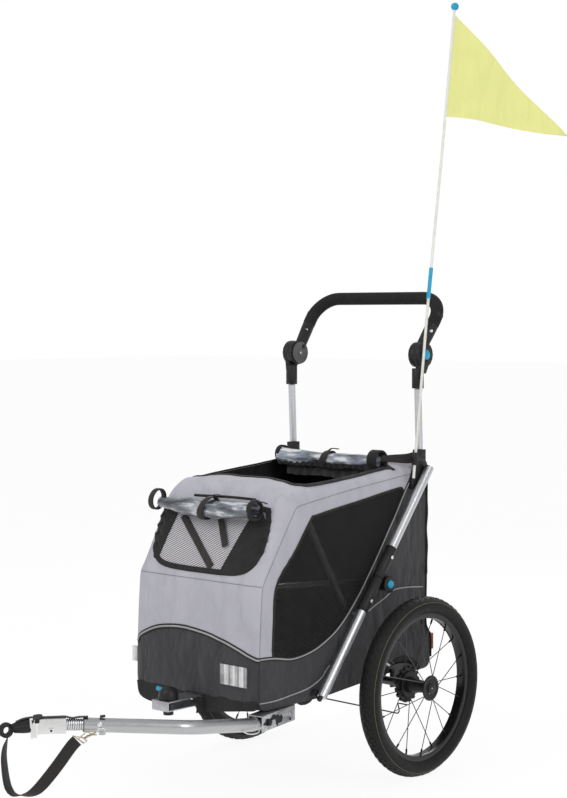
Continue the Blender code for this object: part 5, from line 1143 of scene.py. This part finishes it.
for name, start, end, width, lift in PANE_STRAPS:
    canopy.append(lay_line(name, strip(start, end), on_pane, band(width, 0.0016), WEBBING, lift))
for name, outline in FLAPS:
    loop = []
    for a, b in zip(outline, outline[1:] + outline[:1]):
        loop += strip(a, b, 10)[:-1]
    points, found = regions([(loop, True)], [p for p in FLAP_GRID if inside(p, loop)],
                            lambda x, z: "flap" if inside((x, z), loop) else None)
    flap = panel(points, found["flap"], lambda x, z: on_pane(x, z, 0.002))
    canopy.append(thicken(publish(name, flap, BINDING, None), 0.001))
for name, *shape, material in ROLLS:
    canopy.append(publish(name + "_film_roll", film_roll(*shape), material, "chassis", "clear_film",
                          [name + "_cover_roll"]))
for name, centre, radius, section, lean, squeeze, material in ROLL_BANDS:
    shape = loop_band(centre, radius, band(*section), lean, squeeze)
    canopy.append(publish(name, shape, material))
for name, points, width in TIE_TAILS:
    shape = sweep([at(*p) for p in spline(points, 0.003)], band(width, 0.0024))
    canopy.append(publish(name, shape, WEBBING))
side_strap = [at(*p) for p in spline(SIDE_STRAP, 0.004)]
widths = [0.55 + 0.45 * i / (len(side_strap) - 1) for i in range(len(side_strap))]
side_strap = sweep(side_strap, band(0.026, 0.004), (1, -1, 0), scale=widths)
roll_edge = [at(x, -0.3985 - 0.0015 * noise.noise(Vector((x * 40, 0, 0))), 0.646 + 0.0016 * math.sin(x * 21))
             for x in np.linspace(-0.055, 0.128, 40)]
canopy += [publish("roof_side_strap", side_strap, WEBBING),
           publish("front_roll_edge", sweep(roll_edge, band(0.006, 0.003), (0, -1, 0.3)), BINDING)]
for name, *shape, material in RUFFLES:
    canopy.append(thicken(publish(name, ruffle(*shape), material, None), 0.001))
for piece in canopy:
    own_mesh(piece)
for piece in wings:
    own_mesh(piece)

# Padded floor mat
MAT_GRID, PUFF_FORCE, PUFF_FRAMES, PUFF_LIMIT = 0.0045, 3, 12, 0.0012
mat = add("floor_pad", nodes["floor_mat"].data.copy())
remesh = mat.modifiers.new("shape", "REMESH")
remesh.mode = "VOXEL"
remesh.voxel_size = MAT_GRID
bake(mat)
rest = np.array([v.co for v in mat.data.vertices])
puff = mat.modifiers.new("puff", "CLOTH")
puff.settings.use_pressure = True
puff.settings.uniform_pressure_force = PUFF_FORCE
puff.settings.quality = 3
puff.settings.effector_weights.gravity = 0
for number in range(1, PUFF_FRAMES + 1):
    scene.frame_set(number)
bake(mat)
scene.frame_set(1)
move = np.array([v.co for v in mat.data.vertices]) - rest
size = np.maximum(np.linalg.norm(move, axis=1, keepdims=True), 1e-9)
for vertex, place in zip(mat.data.vertices, rest + move * np.minimum(1, PUFF_LIMIT / size)):
    vertex.co = place
mat.data.materials.clear()
mat.data.materials.append(MAT_CLOTH)
mat.data.shade_smooth()
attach(mat, "chassis")
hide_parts("floor_mat")

# Tow arm, coil spring and coupling trims
MOUTH, REAR = Vector((0.1898, -0.4685, 0.188)), Vector((0.163, -0.335, 0.188))
ARM_BEND, ARM_RADIUS, ARM_CORNER = (0.231, -0.696, 0.2265), 0.0142, 0.07
ARM_EYE = (0.1185, -0.8325)
COIL_TURNS, COIL_STEPS, COIL_RADIUS, WIRE_RADIUS, COIL_PAST = 8, 20, 0.0099, 0.0022, 0.001
ARM_SIDE = Vector((0.771, -0.635, 0))
BUCKLE = ((0.046, -0.007), (0.051, -0.009), (0.057, -0.008), (0.063, -0.005), (0.064, 0.009), (0.06, 0.0145),
          (0.052, 0.014), (0.049, 0.01), (0.044, 0.006))
FORK = ((0.0508, 0.249), (0.0508, 0.2254), (0.0556, 0.2212), (0.0631, 0.213), (0.0658, 0.2082),
        (0.0678, 0.213), (0.0685, 0.226), (0.067, 0.2326), (0.0691, 0.2375), (0.0699, 0.256), (0.0664, 0.256),
        (0.0651, 0.244), (0.0631, 0.2491))
BOOT = ((0.069, 0.2462), (0.08, 0.245), (0.092, 0.2425), (0.103, 0.239))
LINK = ((0.101, -0.879, 0.216), (0.1066, -0.8705, 0.2244), (0.1107, -0.8656, 0.229), (0.1161, -0.859, 0.225),
        (0.1222, -0.8515, 0.2275))
EYELET_OUT, EYELET_AT = Vector((0.55, -0.45, -0.7)), at(0.124, -0.84, 0.2292)
run = (MOUTH - REAR).normalized()
arm_path = [at(*point) for point in rounded((REAR + run * 0.02, MOUTH + run * 0.012, ARM_BEND, ARM_END),
                                            ARM_CORNER, 14)]
arm = join(sweep(arm_path, ring(ARM_RADIUS, 32), scale=[1.0] * (len(arm_path) - 1) + [0.98]),
           tube(at(*ARM_EYE, 0.219), at(*ARM_EYE, 0.23), 0.0065, 20))
publish("tow_arm_tube", arm, ARM_METAL, "chassis", "brushed_tube", ["tow_arm"])
rod = ROD_END - ARM_END
rod_along = rod.normalized()
rod_side = rod_along.cross((0, 0, 1)).normalized()
rod_up = rod_side.cross(rod_along)
coil = []
for i in range(COIL_TURNS * COIL_STEPS + 1):
    turns = i / COIL_STEPS
    out = rod_side * math.cos(TURN * turns) + rod_up * math.sin(TURN * turns)
    along = turns / COIL_TURNS * (rod.length + 2 * COIL_PAST) - COIL_PAST
    coil.append(at(*(ARM_END + rod_along * along + out * COIL_RADIUS)))
spring = publish("coil_spring", sweep(coil, ring(WIRE_RADIUS, 10), rod_up), SPRING, None, "zinc_steel",
                 ["coupling_spring"])
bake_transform(spring)
collar = tube(at(*(ARM_END - rod_along * 0.0016)), at(*ARM_END), 0.0147, 28, 0.0004)
publish("arm_end_line", collar, DARK_STEEL)
place = at(*ROD_END.lerp(BLOCK_END, 0.466)) + across * 0.0125 - AXES[2] * 0.008
publish("block_screw", screw(place, across, 0.0062, 0.0014), CHROME, "coupling")
publish("block_screw_core", screw(place + across * 0.0006, across, 0.0024, 0.001), BLACK, "coupling")


def wire(name, points, radius, material, sides=10):
    publish(name, sweep(spline(points, 0.003), ring(radius, sides)), material)


def buckle_point(along, aside, near):
    return strap_place(along, 0.2515 + 0.0085 * near - 0.2 * aside) + across * aside


def fork_point(along, height, near):
    return strap_place(along, 0.046 + 0.82 * height) + across * (0.0122 + 0.0014 * near)


publish("strap_buckle", slab(BUCKLE, buckle_point), BLACK, "coupling", smooth=False)
publish("fork_side", slab(FORK, fork_point), PALE_METAL, "coupling", smooth=False)
boot = sweep([strap_place(*point) for point in BOOT], ring(0.01, 20), scale=(1, 0.95, 0.85, 0.7))
publish("coupler_boot", boot, BINDING, "coupling")
wire("hook_link", [at(*point) for point in LINK], 0.0013, BRASS)
publish("arm_bolt", screw(at(0.115, -0.837, 0.2425) + ARM_SIDE * 0.014, ARM_SIDE, 0.0046, 0.0022), CHROME)
eyelet = [(u, 0.0082 + v) for u, v in ring(0.0016, 10)]
publish("arm_eyelet", lathe(eyelet, EYELET_AT, 32, EYELET_OUT), CHROME)
publish("arm_eyelet_core", screw(EYELET_AT - EYELET_OUT * 0.0016, EYELET_OUT, 0.0078, 0.0012), ZINC)

# Painted shade of the slot and hole in the receiver channel, a wire for its painted glints, a loop at the
# channel and a tab at the tub's side
# Outline of the dark plate laid where the channel's side has its slot: painted shade of the opening.
SLOT_SHADE = ((0.966, -0.003), (0.966, 0.001), (0.835, 0.0065), (0.732, 0.0055), (0.701, 0.0118), (0.649, 0.0132),
        (0.588, 0.0075), (0.549, 0.0098), (0.466, 0.0034), (0.427, 0.0062), (0.384, -0.0008), (0.405, -0.008),
        (0.445, -0.0098), (0.527, -0.0098), (0.54, -0.016), (0.588, -0.0095), (0.601, 0.0002),
        (0.692, 0.0018), (0.753, -0.0022), (0.835, -0.0076), (0.896, -0.0042))
# Path of a thin bright chrome wire along the glints below the slot: painted glints.
GLINT_WIRE_PATH = ((0.98, -0.015), (0.915, -0.0085), (0.87, -0.0135), (0.79, -0.01), (0.72, -0.0035))
LOOP = ((0.213, -0.532, 0.188), (0.215, -0.519, 0.18), (0.215, -0.503, 0.1765), (0.215, -0.487, 0.1765),
        (0.212, -0.478, 0.182))
channel_out = Vector((-run.y, run.x, 0))


def channel_place(u, v, near):
    """Point near the channel's outer side: u from its rear end to its mouth, v up from its middle."""
    return at(*(REAR + (MOUTH - REAR) * u + channel_out * (0.017 + 0.0012 * near))) + AXES[2] * v


# Dark cloth plate and disc over the channel's slot and hole: painted shade of the openings.
publish("channel_slot", slab(SLOT_SHADE, channel_place), BINDING, smooth=False)
publish("channel_hole", screw(channel_place(0.15, -0.0105, 0.5), channel_out, 0.003, 0.0012), BINDING)
# Thin bright chrome wire: painted glints on the channel's side.
wire("channel_clip", [channel_place(*spot, 0.8) for spot in GLINT_WIRE_PATH], 0.0007, CHROME, 8)
wire("arm_loop", [at(*point) for point in LOOP], 0.0016, SPRING)
tab = block(at(-0.1955, -0.443, 0.283), AXES, (0.0105, 0.0016, 0.017))
publish("side_tab", tab, CLEAR, smooth=False)

# Flag
TOP, LOW, TIP = Vector((0.214, 0.1892, 1.733)), Vector((0.214, 0.1567, 1.496)), Vector((0.286, 0.548, 1.476))
FLAG_X, FLAG_COLUMNS, FLAG_ROWS, FLAG_END, FLUTTER = 0.214, 48, 24, 0.997, 0.0066
FERRULE = ((0.091, 1.076), (0.1016, 1.148))
BALL_RADIUS, BALL_STEPS = 0.0092, 16


def flag_point(along, down):
    """Point of the rippled flag: along from the pole to the tip, down from its top edge."""
    point = TOP.lerp(LOW, down).lerp(TIP, along)
    point.x += math.sin(along * 2.6 * math.pi + down * 1.1) * FLUTTER * min(1.0, along * 3)
    point.z += FLUTTER * 0.6 * down * math.sin(along * TURN)
    return at(*point)


flag = mesh_grid(FLAG_COLUMNS, FLAG_ROWS, lambda column, row: flag_point(column / FLAG_COLUMNS * FLAG_END,
                                                                        row / FLAG_ROWS))
flag = publish("pennant", flag, FLAG_CLOTH, None, "flag_cloth")
thicken(flag, 0.0006, ["flag"], "flag_mast")
hem = [flag_point(0.006, row / FLAG_ROWS) for row in range(FLAG_ROWS + 1)]
hem = sweep(hem, band(0.006, 0.0014), AXES[0])
hem = publish("pennant_hem", hem, FLAG_CLOTH, "flag_mast")
publish("pole_ferrule", tube(*[at(FLAG_X, *end) for end in FERRULE], 0.0045, 20, 0.001), BLUE, "flag_mast")
angles = [math.pi * i / BALL_STEPS for i in range(BALL_STEPS + 1)]
ball = [(BALL_RADIUS * math.cos(angle), max(0.0001, BALL_RADIUS * math.sin(angle))) for angle in angles]
publish("pole_ball", lathe(ball, at(FLAG_X, 0.1885, 1.7517), 32), BLUE, "flag_mast")

# Remaining solids keep their shape and get a fine edge and their own material
DRESS = {"axle": DARK_STEEL, "base_frame": BLACK, "brake_rod": DARK_STEEL, "lower_sleeve": BLACK,
         "upper_sleeve": BLACK, "fold_button": BLUE, "upright_bracket": BLACK, "handle_socket": BLACK,
         "handle_button": BLUE, "handle_bar": BLACK, "receiver_channel": ZINC, "receiver_pin": BLACK,
         "coupling_block": PALE_METAL, "flexible_coupler": BLACK, "snap_hook": BRASS, "nose_bracket": ZINC,
         "nose_clamp": BLACK, "clamp_lever": BLUE, "flag_pole": POLE, "front_reflector": CLEAR,
         "wheel_release": BLACK}
WELD, EDGE_WIDTH, EDGE_ANGLE = 0.00002, 0.0005, math.radians(38)
for name, node in nodes.items():
    if node.hide_render:
        continue
    node.data.materials.clear()
    node.data.materials.append(DRESS[name.replace("_left", "").replace("_right", "")])
    node.data.shade_smooth()
    node.modifiers.new("weld", "WELD").merge_threshold = WELD
    edge = node.modifiers.new("edge", "BEVEL")
    edge.width = EDGE_WIDTH
    edge.segments = 2
    edge.limit_method = "ANGLE"
    edge.angle_limit = EDGE_ANGLE
    edge.harden_normals = True

# Floor, background and soft studio light
FLOOR_HALF, FLOOR_Z, FLOOR_GLOW, GLOW_SHARE = 30, -0.0004, 1.04, 0.88
SKY_LIGHT, SKY_SEEN = 0.62, 1.0
# Name, place, height it points at, width, power
LAMPS = (("key", (-0.6, -3.0, 2.8), 0.4, 1.4, 34), ("side", (3.2, -0.6, 2.0), 0.4, 1.4, 26),
         ("rim", (-0.8, 2.6, 2.4), 0.6, 1.2, 20))
floor = add("floor", bpy.data.meshes.new("floor"))
corners = [(x * FLOOR_HALF, y * FLOOR_HALF, FLOOR_Z) for x, y in ((-1, -1), (1, -1), (1, 1), (-1, 1))]
floor.data.from_pydata(corners, [], [(0, 1, 2, 3)])
paint = Paint("pale_floor")
paint.set(Roughness=0.9)
paint.look(paint.noise(3), ((0.3, (0.8, 0.8, 0.8)), (0.7, (0.83, 0.83, 0.83))), None)
ray = paint.node("ShaderNodeLightPath").outputs
seen = paint.math("MAXIMUM", paint.math("MAXIMUM", ray["Is Camera Ray"], ray["Is Glossy Ray"]),
                  ray["Is Transmission Ray"])
glow = paint.node("ShaderNodeEmission", {0: (1, 1, 1, 1), 1: FLOOR_GLOW})
floor.data.materials.append(paint.mix_out(paint.times(seen, GLOW_SHARE), glow))

world = bpy.data.worlds.new("studio")
scene.world = world
world.use_nodes = True
tree = world.node_tree
ground = tree.nodes["Background"]
ray = tree.nodes.new("ShaderNodeLightPath")
top = tree.nodes.new("ShaderNodeMath")
top.operation = "MAXIMUM"
scale = tree.nodes.new("ShaderNodeMapRange")
scale.inputs["To Min"].default_value = SKY_LIGHT
scale.inputs["To Max"].default_value = SKY_SEEN
for source, sink in ((ray.outputs["Is Camera Ray"], top.inputs[0]),
                     (ray.outputs["Is Transmission Ray"], top.inputs[1]),
                     (top.outputs[0], scale.inputs["Value"]), (scale.outputs[0], ground.inputs["Strength"])):
    tree.links.new(source, sink)
ground.inputs["Color"].default_value = (1, 1, 1, 1)
for name, place, height, width, power in LAMPS:
    data = bpy.data.lights.new(name, "AREA")
    data.shape = "RECTANGLE"
    data.size, data.size_y, data.energy = width, width * 1.4, power
    lamp = add(name, data)
    lamp.location = place
    lamp.rotation_euler = (Vector(place) - Vector((0, 0, height))).to_track_quat("Z", "Y").to_euler()

scene.view_settings.view_transform = "Standard"
